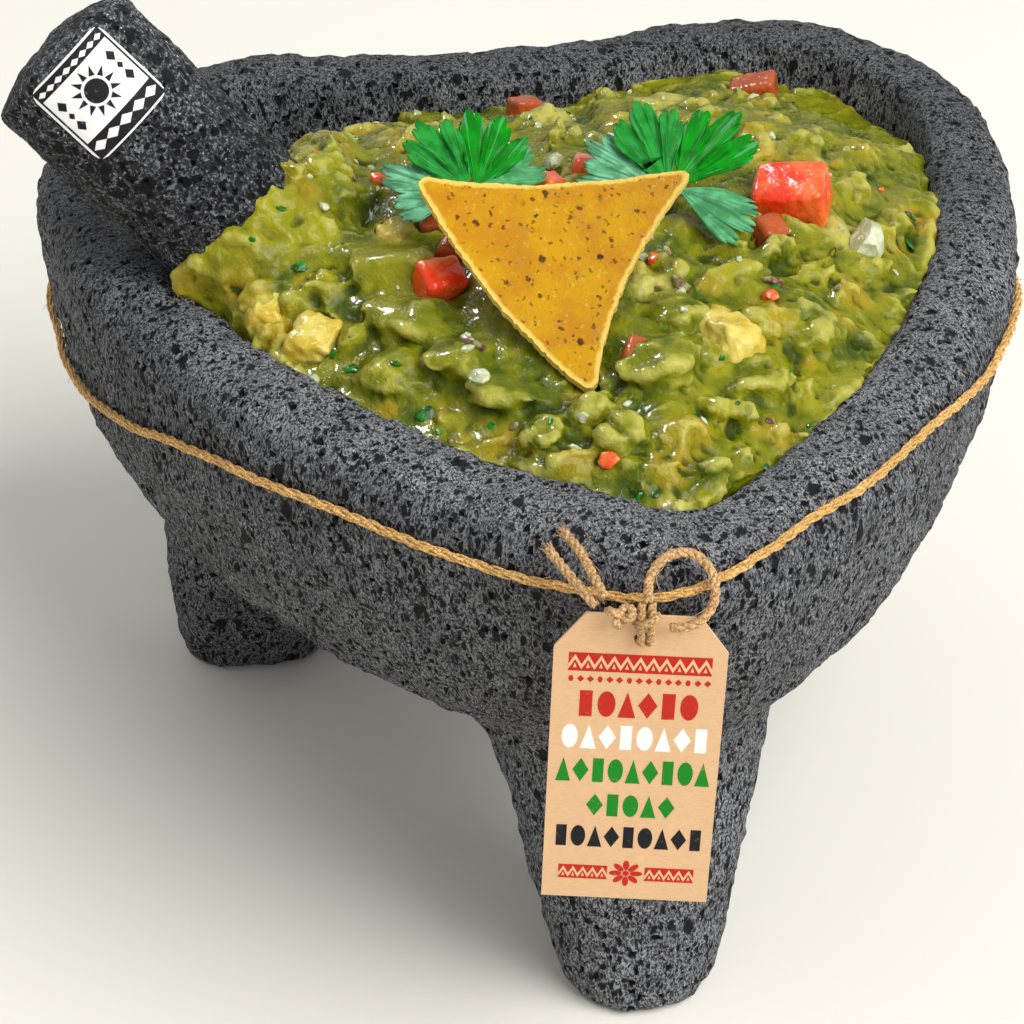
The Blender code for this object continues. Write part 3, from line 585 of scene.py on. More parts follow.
def tubes(lines):
    """A bmesh of round tubes. Each line is (points, radius), the radius one number or a list."""
    curve = bpy.data.curves.new("strands", "CURVE")
    curve.dimensions = "3D"
    curve.bevel_depth = 1.0
    curve.bevel_resolution = 1
    curve.use_fill_caps = True
    for points, radius in lines:
        spline = curve.splines.new("POLY")
        spline.points.add(len(points) - 1)
        for i, (knot, point) in enumerate(zip(spline.points, points)):
            knot.co = (*point, 1.0)
            knot.radius = radius if isinstance(radius, float) else radius[i]
    holder = bpy.data.objects.new("strands", curve)
    bpy.context.scene.collection.objects.link(holder)
    graph = bpy.context.evaluated_depsgraph_get()
    mesh = bpy.data.meshes.new_from_object(holder.evaluated_get(graph))
    bpy.data.objects.remove(holder)
    bpy.data.curves.remove(curve)
    bm = bmesh.new()
    bm.from_mesh(mesh)
    bpy.data.meshes.remove(mesh)
    bmesh.ops.remove_doubles(bm, verts=bm.verts, dist=0.000001)
    return bm


def twisted_lines(route, radius, pitch):
    """The three strands of one cord as thick as the radius says."""
    strand_radius = radius * STRAND_SHARE
    return [(twist_round(route, radius - strand_radius, pitch, math.tau * i / STRANDS),
             strand_radius) for i in range(STRANDS)]


def hairs(route, radius, count, rng, reach=0.004):
    """Stray fibres that leave a cord at a low angle."""
    lines = []
    for _ in range(count):
        i = rng.randrange(1, len(route) - 1)
        ahead = (route[i + 1] - route[i - 1]).normalized()
        out = Vector([rng.gauss(0, 1) for _ in range(3)])
        out = (out - ahead * out.dot(ahead)).normalized()
        start = route[i] + out * radius * 0.8
        way = (ahead * rng.choice((-1, 1)) + out * rng.uniform(0.15, 0.6)).normalized()
        span = rng.uniform(0.3, 1.0) * reach
        bend = out * rng.uniform(-0.3, 0.3) * span
        lines.append(([start, start + way * span * 0.5 + bend * 0.3, start + way * span + bend],
                      [0.00007, 0.00006, 0.00003]))
    return lines


def fibre_finish(name, tint):
    """Dry plant fibre: fine light and dark threads over the twist."""
    made, bench, shader = material(name, Roughness=0.85, Specular_IOR_Level=0.25)
    place = bench.place()
    threads = bench.noise(place, 0.00045, 3.0, 0.6).outputs[0]
    patches = bench.noise(place, 0.007, 2.0).outputs[0]
    pale = bench.mix(bench.window(threads, 0.36, 0.66), [c * 0.50 for c in tint],
                     [min(1.0, c * 1.30 + 0.03) for c in tint])
    pale = bench.mix(bench.window(patches, 0.42, 0.62, 0.0, 0.30), pale,
                     [c * 0.55 for c in tint])
    bench.feed(shader["Base Color"], pale)
    bench.feed(shader["Normal"], bump(bench, threads, 0.00012, 0.8))
    return made


def ring_centres(node):
    """The centreline of a closed tube round the bowl, from the rings of its vertices."""
    bm = merged_copy(node)
    middle = at_heart(*BAND_MIDDLE)
    spots = sorted(((math.atan2(v.co.y - middle.y, v.co.x - middle.x), v.co.copy())
                    for v in bm.verts), key=lambda item: item[0])
    bm.free()
    rings = [[spots[0][1]]]
    for _, spot in spots[1:]:
        if (spot - rings[-1][0]).length > RING_GAP:
            rings.append([])
        rings[-1].append(spot)
    if (rings[0][0] - rings[-1][0]).length < RING_GAP:
        rings[0] += rings.pop()
    return [sum(ring, Vector()) / len(ring) for ring in rings]


class MORTAR_OT_string(bpy.types.Operator):
    """Makes the tag's string: its ring, hitch, knot and two cut tails"""
    bl_idname = "mortar.string"
    bl_label = "String"

    def execute(self, context):
        values = setting("cords")
        rng = random.Random(41)
        radius, pitch = values.string_radius, values.pitch * 0.55
        finish = fibre_finish("jute_string", values.string)
        hitch_spot, knot_spot = at_heart(*HITCH_PLACE), at_heart(*KNOT_PLACE)

        def add(name, lines):
            add_piece("jute_" + name, tubes(lines), [finish],
                                    ["string_" + name])

        ring, ring_length = smooth_route([at_heart(*p) for p in RING_ROUTE], STRAND_STEP)
        add("ring", twisted_lines(ring, radius, pitch) + hairs(ring, radius, 16, rng))
        for name, route in (("tail_upper", UPPER_TAIL_ROUTE),
                            ("tail_lower", LOWER_TAIL_ROUTE)):
            line, _ = smooth_route([at_heart(*p) for p in route], STRAND_STEP)
            lines = twisted_lines(line, radius, pitch) + hairs(line, radius, 12, rng)
            lines += frayed_end(line, radius, 14, rng)
            add(name, lines)
        turn = Matrix.Rotation(math.radians(TAG_TURN), 3, "Z")
        legs = []
        for side in (-1, 1):
            leg = [Vector((side * 0.00075 - 0.0001, 0.0020, -0.0052)),
                   Vector((side * 0.00080 - 0.0001, -0.0002, -0.0048)),
                   Vector((side * 0.00095, -0.0006, -0.0020)),
                   Vector((side * 0.00100, -0.0003, 0.0014)),
                   Vector((side * 0.00090, 0.0001, 0.0040))]
            line, _ = smooth_route([hitch_spot + turn @ p for p in leg], STRAND_STEP)
            legs += twisted_lines(line, radius * 0.86, pitch)
        wrap = [hitch_spot + turn @ Vector((0.0019 * math.cos(a), 0.0013 * math.sin(a) - 0.0003,
                                            0.0006 + 0.0009 * math.cos(a)))
                for a in np.linspace(0.0, math.tau, 9)[:-1]]
        line, _ = smooth_route(wrap, STRAND_STEP, closed=True)
        add("hitch", legs + twisted_lines(line, radius * 0.80, pitch))
        loops = []
        for a in np.linspace(0.0, math.tau, 25)[:-1]:
            loops.append(knot_spot + turn @ Vector((
                0.00105 * (math.sin(a) + 1.35 * math.sin(2 * a)), 0.0009 * -math.sin(3 * a),
                0.00085 * (math.cos(a) - 1.35 * math.cos(2 * a)))))
        line, _ = smooth_route(loops, STRAND_STEP, closed=True)
        add("knot", twisted_lines(line, radius * 0.92, pitch))
        return {"FINISHED"}


# The twine: how its band's rings are told apart, its step, and how it is laid on the stone.
RING_GAP = 0.0034       # farthest that a ring's own vertices lie from its first one
BAND_MIDDLE = (0.0, -0.010, 0.0)
TWINE_STEP = 0.0009
TWINE_SAG = 0.0095      # how much lower it hangs behind
TWINE_STAND = 1.15      # its middle's distance from the stone, in radii
YARN_OFFSETS = (0.46, 0.27)
YARN_RADIUS = 0.26
CAST_FROM = 0.02        # how far outside the band the stone is looked for
SMOOTH_ROUNDS = (160, 60)


def frayed_end(line, radius, count, rng):
    """A tuft of fibres past the end of a line."""
    ahead = (line[-1] - line[-2]).normalized()
    lines = []
    for _ in range(count):
        out = Vector([rng.gauss(0, 1) for _ in range(3)])
        out = (out - ahead * out.dot(ahead)).normalized()
        start = line[-1] - ahead * 0.0006 + out * radius * rng.uniform(0.1, 0.8)
        tip = start + ahead * rng.uniform(0.0008, 0.0026) + out * rng.uniform(0.0001, 0.0008)
        lines.append(([start, start.lerp(tip, 0.5) + ahead * 0.0002, tip],
                      [0.00016, 0.00013, 0.00006]))
    return lines


def laid_on(route, name, reach):
    """A closed route drawn level inwards until it rests on the skin of a finished piece."""
    skin = bmesh.new()
    skin.from_mesh(bpy.data.objects[name].data)
    tree = BVHTree.FromBMesh(skin)
    skin.free()
    inwards = [Vector((HEART_X - point.x, HEART_Y - point.y, 0.0)).normalized()
               for point in route]
    for rounds in SMOOTH_ROUNDS:
        gaps = []
        for point, way in zip(route, inwards):
            spot = tree.ray_cast(point - way * CAST_FROM, way)[0]
            gaps.append((spot - point).dot(way) - reach if spot else 0.0)
        for _ in range(rounds):
            gaps = (np.roll(gaps, 1) + 2 * np.array(gaps) + np.roll(gaps, -1)) / 4
        route = [point + way * gap for point, way, gap in zip(route, inwards, gaps)]
    return route


class MORTAR_OT_twine(bpy.types.Operator):
    """Makes the twine round the bowl, three strands of three yarns drawn against the stone"""
    bl_idname = "mortar.twine"
    bl_label = "Twine"

    def execute(self, context):
        values = setting("cords")
        rng = random.Random(17)
        route, _ = smooth_route(ring_centres("twine_band"), TWINE_STEP, closed=True)
        radius = values.twine_radius
        for point in route:
            point.z -= TWINE_SAG * ease(point.y - HEART_Y, -0.045, 0.010)
        route = laid_on(route, "stone_bowl", radius * TWINE_STAND)
        run = sum((b - a).length for a, b in zip(route, route[1:]))
        pitch = run / round(run / (values.pitch * 1.25))
        lines = []
        wide, narrow = (radius * offset for offset in YARN_OFFSETS)
        for i in range(STRANDS):
            strand = twist_round(route, wide, pitch, math.tau * i / STRANDS)
            lines += [(twist_round(strand, narrow, -pitch * 2.0, math.tau * j / STRANDS),
                       radius * YARN_RADIUS) for j in range(STRANDS)]
        lines += hairs(route, radius, 120, rng, 0.003)
        finish = fibre_finish("jute_twine", values.twine)
        add_piece("twine_strands", tubes(lines), [finish], ["twine_band"])
        return {"FINISHED"}


# ---------------------------------------------------------------- where the filling lies
FILLING = surface_tree("guacamole")
WALL_REACH = 0.0035
SKY = 0.30
DOWN = Vector((0.0, 0.0, -1.0))
STONE_LOW = 0.066        # below this height the stone has no guacamole beside it
FILLING_MIDDLE = (0.0, -0.0289, 0.0)


def near_filling(spot):
    """True where the stone lies against the guacamole or just over it."""
    if spot.z < STONE_LOW:
        return False
    return FILLING.find_nearest(spot)[3] < WALL_REACH


def filling_top(spot):
    """Height of the guacamole's edge beside a spot on the wall."""
    middle = at_heart(*FILLING_MIDDLE)
    inward = spot.lerp(Vector((middle.x, middle.y, spot.z)), 0.05)
    hit = FILLING.ray_cast(Vector((inward.x, inward.y, SKY)), DOWN)
    return hit[0].z if hit[0] else 0.0


# ---------------------------------------------------------------- stone
# What the two stone finishes differ in: pore spacing, share of open pores, depth of the bump,
# how the pattern is stretched and where the dark grains end.
BOWL_GRAIN = (0.0018, 0.70, 0.0012, (1.40, 1.40, 0.74), 0.45)
PESTLE_GRAIN = (0.0021, 0.90, 0.0012, (1.0, 1.0, 1.0), 0.50)
GRAIN_SOFTNESS = 0.10
SUNK_REACH = 0.00005     # a vertex as near as this to a pore's floor is one of its own
# The pestle's blunt end and axis, and the way the label faces, from the heart's centre.
PESTLE_TOP = (-0.1046, 0.0100, 0.1856)
PESTLE_AXIS = (-0.662, 0.288, 0.692)
LABEL_WAY = (0.0, -0.92, 0.386)
LABEL_FROM_TOP = 0.0142
LABEL_CLEAR = 0.0044     # the end is reshaped only within this distance of its tip
END_SQUASH = 0.72        # height kept there, at the middle of the end
END_REACH = 0.016
END_DOME = 0.70          # how much less is kept at the sides
LABEL_ACROSS = 20.5
LABEL_ALONG = 19.5


def pestle_matrix():
    """Local Z runs up the pestle to its blunt end, local X to the side with the label."""
    up = Vector(PESTLE_AXIS).normalized()
    face = Vector(LABEL_WAY)
    face = (face - up * face.dot(up)).normalized()
    turn = Matrix((face, up.cross(face), up)).transposed().to_4x4()
    return Matrix.Translation(at_heart(*PESTLE_TOP)) @ turn


def stone_finish(name, spacing, share_open, bump_depth, stretch, grain_low):
    """Porous basalt: grey grains and pale crystals, with painted shade in the open pores and painted
    light and shade from each vertex's tone.
    """
    values = setting("stone")
    made, bench, shader = material(name, Specular_IOR_Level=0.22)
    place = bench.place()
    drawn_out = bench.moved(place, stretch, (0.55, 0.45, 0.0))
    pores = bench.group(pores_group(), {"Vector": drawn_out, "Spacing": spacing,
                                        "Share": share_open, "Warp": 1.1})
    drift = bench.window(bench.noise(place, 0.014, 3.0).outputs[0], 0.36, 0.66)
    grains = bench.mix(bench.window(pores["Grain"], grain_low, grain_low + GRAIN_SOFTNESS), values.dark,
                       values.light)
    shade = bench.mix(bench.maths("MULTIPLY", drift, 0.30), grains, values.dark)
    base = bench.mix(pores["Speck"], shade, values.speck)
    # Painted shade: the open pores of the pattern are painted near black for the shadow inside them.
    base = bench.mix(pores["Pore"], base, values.pore)
    # Painted shade deep in the modelled pores as well.
    sunk = bench.attribute("sunk").outputs["Fac"]
    base = bench.mix(bench.window(sunk, 0.05, 0.75, 0.0, 0.95), base, values.pore)
    # Painted light and shade: the colour is scaled by each vertex's painted light, which on the bowl
    # also holds the worn rim's own tone.
    tone_and_painted_light = bench.add("VectorMath", {0: base, "Scale": bench.attribute("tone_and_painted_light").outputs["Fac"]},
                     operation="SCALE").outputs[0]
    bench.feed(shader["Base Color"], tone_and_painted_light)
    bench.feed(shader["Roughness"], bench.window(pores["Grain"], 0.3, 0.7, 0.92, 0.70))
    bench.feed(shader["Normal"], bump(bench, pores["Height"], bump_depth, 1.0))
    return made


def fill_creases(bm, chosen, rounds):
    """Fills the sharp inner joints among the chosen vertices and takes nothing off."""
    bm.verts.index_update()
    bm.normal_update()
    places = np.array([vert.co for vert in bm.verts])
    normals = np.array([vert.normal for vert in bm.verts])
    ends = np.array([[vert.index for vert in edge.verts] for edge in bm.edges])
    free = np.zeros(len(places))
    free[[vert.index for vert in chosen]] = 0.8
    for _ in range(rounds):
        rise = ((neighbour_mean(places, ends) - places) * normals).sum(1)
        places += normals * (np.maximum(rise, 0.0) * free)[:, None]
    for vert, place in zip(bm.verts, places):
        vert.co = place


def open_pores(bm, wanted, count, rng, depth):
    """Sinks chosen faces, one alone or two joined, into small open pores of uneven shape."""
    order = [face for face in bm.faces if len(face.verts) == 4 and wanted(face)]
    rng.shuffle(order)
    taken = set()
    floors, joints = [], []
    for face in order:
        if len(floors) + len(joints) == count:
            break
        edge = rng.choice(face.edges) if rng.random() < 0.45 else None
        pair = list(edge.link_faces) if edge else [face]
        near = {vert.index for item in pair for vert in item.verts}
        if near & taken or any(len(item.verts) != 4 for item in pair):
            continue
        taken |= near
        if edge:
            joints.append(edge)
        else:
            floors.append(face)
    joined = bmesh.ops.dissolve_edges(bm, edges=joints)["region"]
    floors += [face for face in joined if face.is_valid]
    for part in range(3):
        bmesh.ops.inset_individual(bm, faces=floors[part::3], thickness=0.00019 + 0.00009 * part,
                                   depth=-depth * (0.45 + 0.3 * part), use_even_offset=True)
    return [vert.co.copy() for face in floors for vert in face.verts]


def painted_pore_shade(piece, floors_at):
    """1 deep in the modelled pores and 0 elsewhere, where the finish paints their shade."""
    tree = KDTree(len(floors_at))
    for i, spot in enumerate(floors_at):
        tree.insert(spot, i)
    tree.balance()
    return [1.0 if tree.find(vert.co)[2] < SUNK_REACH else 0.0 for vert in piece.data.vertices]


def roughen(bm, coarse, middle, fine, shuffle):
    """Breaks up a skin with three sizes of noise, and its even grid with sideways steps."""
    bm.normal_update()
    for vert in bm.verts:
        spot, normal = vert.co.copy(), vert.normal
        step = coarse * noise.noise(spot * 38.0) + middle * noise.noise(spot * 140.0)
        step += fine * noise.noise(spot * 420.0)
        side = noise.noise_vector(spot * 620.0) * shuffle
        side -= normal * side.dot(normal)
        vert.co = spot + normal * step + side
        vert.co.z = max(vert.co.z, 0.0)


class MORTAR_OT_bowl(bpy.types.Operator):
    """Makes the stone bowl with its legs: one rough skin with open pores"""
    bl_idname = "mortar.bowl"
    bl_label = "Stone bowl"

    def execute(self, context):
        values = setting("stone")
        rng = random.Random(5)
        bm = voxel_skin(merged_copy("molcajete_bowl"), values.skin)
        fill_creases(bm, [v for v in bm.verts if 0.020 < v.co.z < 0.100
                          and not near_filling(v.co)], 40)
        bmesh.ops.smooth_vert(bm, verts=bm.verts, factor=0.35, use_axis_x=True, use_axis_y=True,
                              use_axis_z=True)
        roughen(bm, 0.0012, 0.0008, 0.0006, 0.0009)
        bm = thin_out(bm, lambda spot: near_filling(spot) and spot.z < filling_top(spot) - 0.007,
                      0.60)
        floors_at = open_pores(bm, seen_stone, values.pores, rng, values.pore_depth)
        finish = stone_finish("bowl_basalt", *BOWL_GRAIN)
        bowl = add_piece("stone_bowl", bm, [finish], ["molcajete_bowl"], sharp=50)
        paint(bowl, "sunk", painted_pore_shade(bowl, floors_at))
        paint(bowl, "tone_and_painted_light", [bowl_tone_and_painted_light(vert.co) for vert in bowl.data.vertices])
        return {"FINISHED"}


class MORTAR_OT_pestle(bpy.types.Operator):
    """Makes the stone pestle that leans in the bowl"""
    bl_idname = "mortar.pestle"
    bl_label = "Stone pestle"

    def execute(self, context):
        values = setting("stone")
        rng = random.Random(8)
        bm = voxel_skin(merged_copy("tejolote_pestle"), values.pestle_skin)
        top = pestle_matrix()
        back = top.inverted()
        for vert in bm.verts:
            spot = back @ vert.co
            if spot.z > -LABEL_CLEAR:
                aside = min(abs(spot.y) / END_REACH, 1.0)
                keep = END_SQUASH * (1.0 - END_DOME * aside**2)
                spot.z = -LABEL_CLEAR + (spot.z + LABEL_CLEAR) * keep
                vert.co = top @ spot
        roughen(bm, 0.0007, 0.0006, 0.0005, 0.0006)
        floors_at = open_pores(bm, lambda face: True, values.pestle_pores, rng,
                               values.pore_depth)
        finish = stone_finish("pestle_basalt", *PESTLE_GRAIN)
        pestle = add_piece("stone_pestle", bm, [finish], ["tejolote_pestle"],
                           sharp=50)
        paint(pestle, "sunk", painted_pore_shade(pestle, floors_at))
        # Painted light: the pestle is painted lighter towards its upper end, which stands clear of the
        # bowl.
        paint(pestle, "tone_and_painted_light", [0.56 + 0.60 * ease(vert.co.z, 0.162, 0.192)
                               for vert in pestle.data.vertices])
        return {"FINISHED"}


def bowl_tone_and_painted_light(spot):
    """How light the stone is. The rim's top, ground flat and worn, has a tone of its own; over it lies
    painted light and shade: the rim lighter at the front and darker behind, the left wall darker than
    the right, and the low front with its leg lighter.
    """
    x, y = spot.x - HEART_X, spot.y - HEART_Y
    front = ease(-y, -0.02, 0.05)
    # Painted light: the rim lighter at the front and darker behind.
    rim = 0.74 + 0.60 * front
    # Painted shade: the left wall darker than the right one.
    wall = 0.84 + 0.16 * ease(x, -0.02, 0.06)
    # Painted light on the low front, with its leg.
    wall += 0.30 * front * ease(0.07 - spot.z, 0.0, 0.03)
    top = ease(spot.z, RIM_Z - 0.005, RIM_Z - 0.0015)
    return wall + (rim - wall) * top


def seen_stone(face):
    """True away from the wall that the guacamole hides, and off the bottoms of the legs."""
    spot = face.calc_center_median()
    if spot.z < 0.0006:
        return False
    return not near_filling(spot) or spot.z > filling_top(spot) - 0.004


# ---------------------------------------------------------------- guacamole
# Lumps listed one by one: (x, y, lift in mm, size in mm, turn, kind), from the heart's centre in mm.
# Kinds: g smooth mash, l light mash, y yellow flesh, o amber flesh, c pale fold.
PLACED_LUMPS = (
    (-68.5, -22.5, 0.8, (8, 10, 9), 20, "o"), (-69.0, -29.0, 0.8, (7, 9, 8), -10, "y"),
    (-66.0, -37.5, 0.2, (8, 11, 7), 20, "o"), (-74.0, -30.0, -1.0, (9, 8, 6), 0, "g"),
    (-79.0, -24.0, -1.5, (9, 7, 5), 20, "g"), (-62.0, -15.5, 0.4, (12, 9, 8), -20, "l"),
    (-56.0, -8.0, 0.5, (13, 8, 8), 30, "l"), (-46.0, 4.0, 1.0, (12, 9, 8), 10, "l"),
    (-41.5, -33.0, 1.4, (19, 17, 11), 15, "l"), (-37.0, -49.0, 0.4, (24, 18, 9), -30, "g"),
    (-30.0, -61.0, 0.2, (22, 16, 8), 35, "g"), (-45.0, -60.0, 0.0, (16, 13, 7), 0, "g"),
    (-25.0, -74.0, 0.4, (18, 12, 7), -20, "g"), (-40.0, -22.5, 1.2, (15, 5, 6), -8, "c"),
    (-33.0, -16.0, 0.8, (10, 4, 5), -25, "c"), (-53.0, -32.0, 0.4, (13, 9, 7), 30, "l"),
    (3.0, -77.0, 1.0, (18, 17, 10), 15, "g"), (9.5, -62.0, 0.8, (14, 13, 8), 0, "g"),
    (26.0, -50.0, 1.0, (20, 6, 8), 24, "l"), (34.0, -43.0, 1.0, (18, 6, 8), 30, "g"),
    (44.0, -44.0, 0.6, (18, 6, 7), 40, "l"), (30.0, -63.0, 0.6, (18, 8, 7), 30, "y"),
    (23.0, -81.0, 0.4, (15, 7, 7), 20, "g"), (38.0, -66.0, 0.2, (15, 8, 6), 30, "g"),
    (50.0, -50.0, 0.2, (15, 7, 7), 40, "y"), (57.0, -41.0, 0.0, (13, 8, 6), 45, "l"),
    (-17.5, -95.5, 1.2, (12, 5, 6), 12, "y"), (-8.0, -93.0, 1.2, (11, 9, 8), 30, "g"),
    (-11.0, -84.5, 0.6, (13, 9, 7), 0, "l"), (-21.0, -87.0, 0.6, (11, 9, 7), 20, "g"),
    (5.3, -95.0, 1.4, (7, 7, 7), 0, "y"), (47.0, 10.0, 0.8, (11, 9, 8), 10, "y"),
    (42.0, 0.0, 1.0, (12, 9, 8), -20, "l"), (55.0, -3.0, 0.5, (12, 9, 7), 30, "y"),
    (33.0, 12.0, 0.6, (12, 9, 7), 0, "y"), (21.0, 22.0, 0.6, (13, 9, 7), 15, "y"),
    (62.0, -12.0, 0.4, (9, 12, 7), 20, "l"), (68.0, -24.0, 0.0, (9, 10, 6), 0, "g"),
    (75.0, -28.0, -0.4, (9, 8, 5), 0, "g"), (30.0, -30.0, 0.6, (12, 8, 7), -30, "y"),
    (-10.0, 30.0, 0.5, (14, 10, 7), 0, "l"), (6.0, 36.0, 0.5, (14, 9, 7), 10, "c"),
    (-26.0, 22.0, 0.5, (13, 10, 7), 30, "l"), (30.0, 34.0, 0.4, (13, 10, 7), -20, "c"),
    (-51.5, -47.0, 0.8, (9, 6, 6), 40, "l"), (-65.0, -50.0, 0.2, (11, 6, 6), -30, "y"),
    (-60.0, -34.0, 1.0, (10, 5, 5), 10, "l"), (27.0, -42.0, 1.2, (9, 6, 6), -20, "l"),
    (13.0, -88.0, 0.6, (12, 7, 7), -15, "l"), (-34.0, -10.0, 0.6, (14, 6, 6), 10, "y"),
)
# Mash piled up against the pestle: (x, y, z) of each lump and its size, in mm.
PESTLE_BANK = (
    (-80.0, -16.5, 141.5, 9.0), (-76.0, -18.5, 145.0, 10.0), (-72.5, -19.0, 149.0, 11.0),
    (-69.0, -17.5, 152.5, 11.0), (-65.5, -15.5, 154.5, 11.5), (-62.0, -12.5, 155.5, 12.0),
    (-58.5, -9.0, 155.5, 13.0), (-55.0, -5.0, 154.5, 13.0), (-51.5, -0.5, 153.0, 14.0),
    (-49.0, 5.0, 151.5, 14.0), (-47.5, 11.0, 150.0, 14.0), (-46.0, 17.0, 147.5, 14.0),
    (-70.0, -21.0, 144.0, 13.0), (-64.5, -20.0, 147.5, 14.0), (-59.0, -17.0, 149.5, 15.0),
    (-53.5, -12.5, 149.5, 15.0), (-49.5, -7.0, 149.5, 15.0), (-75.0, -20.0, 140.0, 11.0),
    (-62.0, -16.5, 152.0, 13.0), (-57.0, -12.0, 152.5, 13.0), (-67.0, -19.0, 149.5, 12.0),
)
KIND_TINTS = {"g": (0.0, 0.0, 0.0), "l": (0.0, 1.0, 0.0), "y": (0.7, 0.35, 0.0),
              "o": (1.0, 0.0, 0.0), "c": (0.15, 0.6, 1.0)}
LEFT_KINDS = (0.22, 0.40, 0.24, 0.06, 0.08)
RIGHT_KINDS = (0.56, 0.18, 0.16, 0.03, 0.07)
FLAT_SIDES = {"g": 0, "l": 3, "y": 5, "o": 5, "c": 2}
# Smooth places, where the mash has few small lumps: (x, y, reach) in mm.
SMOOTH_PLACES = ((-36.0, -54.0, 20.0), (4.0, -74.0, 12.0), (-27.0, -73.0, 11.0),
                 (-42.0, -34.0, 10.0), (28.0, -47.0, 9.0))


def calm(x, y):
    """1 in the smooth places and 0 away from them, for a place in mm from the centre."""
    return max(math.exp(-((x - a) ** 2 + (y - b) ** 2) / reach**2)
               for a, b, reach in SMOOTH_PLACES)


def heap_spot(x, y, tree=FILLING):
    """Place and normal of the heap's surface under a place in mm from the heart's centre."""
    spot, normal, _, _ = tree.ray_cast(at_heart(x * MM, y * MM, SKY), DOWN)
    return spot, normal


def chunk(bm, spot, size, turn, rng, detail=2, sides=3, roughness=0.5):
    """Adds one uneven lump with some flat sides."""
    made = bmesh.ops.create_icosphere(bm, subdivisions=detail, radius=0.5)["verts"]
    shift = Vector([rng.uniform(0.0, 90.0) for _ in range(3)])
    cuts = [(Vector([rng.gauss(0, 1) for _ in range(3)]).normalized(), rng.uniform(0.50, 0.80))
            for _ in range(sides)]
    place = Matrix.Translation(spot) @ turn
    for vert in made:
        way = vert.co.normalized()
        grow = 1.0 + roughness * noise.noise(way * 1.6 + shift)
        grow += 0.4 * roughness * noise.noise(way * 4.1 + shift)
        for cut, reach in cuts:
            grow = min(grow, reach / max(way.dot(cut), 0.2))
        vert.co = place @ Vector([c * grow * s for c, s in zip(vert.co, size)])


def turned(x, y, z):
    """A turn about X, then Y, then Z, in degrees."""
    return (Matrix.Rotation(math.radians(z), 4, "Z") @ Matrix.Rotation(math.radians(y), 4, "Y")
            @ Matrix.Rotation(math.radians(x), 4, "X"))


def tilted(rng, most):
    return turned(rng.uniform(-most, most), rng.uniform(-most, most), rng.uniform(0, 180))


COVERS = {node: surface_tree(node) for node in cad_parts
          if node.startswith(("tortilla", "tomato", "avocado", "tejolote"))}


def covered(spot, reach):
    """True if the chip, the pestle or a topping is closer over the spot than a reach."""
    return any(tree.ray_cast(spot + Vector((0, 0, -0.001)), -DOWN, reach)[0]
               for tree in COVERS.values())


def scattered_spots(bm, count, rng):
    """Random places and normals on the upper surface of a skin, evenly by area."""
    faces = [face for face in bm.faces if face.normal.z > 0.30]
    weights = [face.calc_area() for face in faces]
    spots = []
    for face in rng.choices(faces, weights, k=count):
        corners = [vert.co for vert in face.verts[:3]]
        a, b = rng.random(), rng.random()
        if a + b > 1:
            a, b = 1 - a, 1 - b
        spots.append((corners[0] + (corners[1] - corners[0]) * a + (corners[2] - corners[0]) * b,
                      face.normal.copy()))
    return spots


def pack_lumps(bm, rng, count):
    """Adds the placed and the scattered lumps and returns (spot, reach, tint) of each."""
    places = scattered_spots(bm, count, rng)
    painted = []
    for x, y, lift, size, turn, kind in PLACED_LUMPS:
        spot, _ = heap_spot(x, y)
        if spot is None:
            continue
        spot = spot + Vector((0.0, 0.0, (lift - 0.22 * size[2]) * MM))
        chunk(bm, spot, [side * MM for side in size],
              turned(rng.uniform(-8, 8), rng.uniform(-8, 8), turn), rng, 3, FLAT_SIDES[kind], 0.4)
        painted.append((spot, sum(size) / 6 * MM, KIND_TINTS[kind]))
    for x, y, z, across in PESTLE_BANK:
        spot = at_heart(x * MM, y * MM, z * MM)
        size = [across * MM * rng.uniform(0.9, 1.15) for _ in range(3)]
        chunk(bm, spot, size, tilted(rng, 30), rng, 3, 1, 0.35)
        painted.append((spot, across / 2 * MM, KIND_TINTS[rng.choice("ylyll")]))
    for spot, normal in places:
        smooth = calm((spot.x - HEART_X) / MM, (spot.y - HEART_Y) / MM)
        across = rng.choice((0.0032, 0.0045, 0.0058, 0.0072, 0.0090)) * rng.uniform(0.85, 1.15)
        height = across * rng.uniform(0.55, 0.95)
        if rng.random() < smooth * 1.15 or covered(spot, 0.004 + height):
            continue
        lift = rng.uniform(-0.38, -0.02) * height
        size = (across, across * rng.uniform(0.5, 0.9), height)
        chunk(bm, spot + normal * lift, size, tilted(rng, 35), rng, 2, rng.randrange(2, 6), 0.6)
        left = spot.x - HEART_X < -0.025
        kind = rng.choices("glyoc", LEFT_KINDS if left else RIGHT_KINDS)[0]
        painted.append((spot, across / 2, KIND_TINTS[kind]))
    return painted


def mash_tints(piece, painted):
    """Colour of each vertex, from the lumps near it: red for yellow flesh, green for light."""
    tree = KDTree(len(painted))
    for i, (spot, _, _) in enumerate(painted):
        tree.insert(spot, i)
    tree.balance()
    tints = []
    for vert in piece.data.vertices:
        total = Vector((0.0, 0.0, 0.0))
        weight = 0.20
        for _, i, away in tree.find_n(vert.co, 3):
            _, reach, tint = painted[i]
            near = math.exp(-(away / (reach * 0.95)) ** 4)
            total += Vector(tint) * near
            weight += near
        tints.append((*(total / weight), 1.0))
    return tints


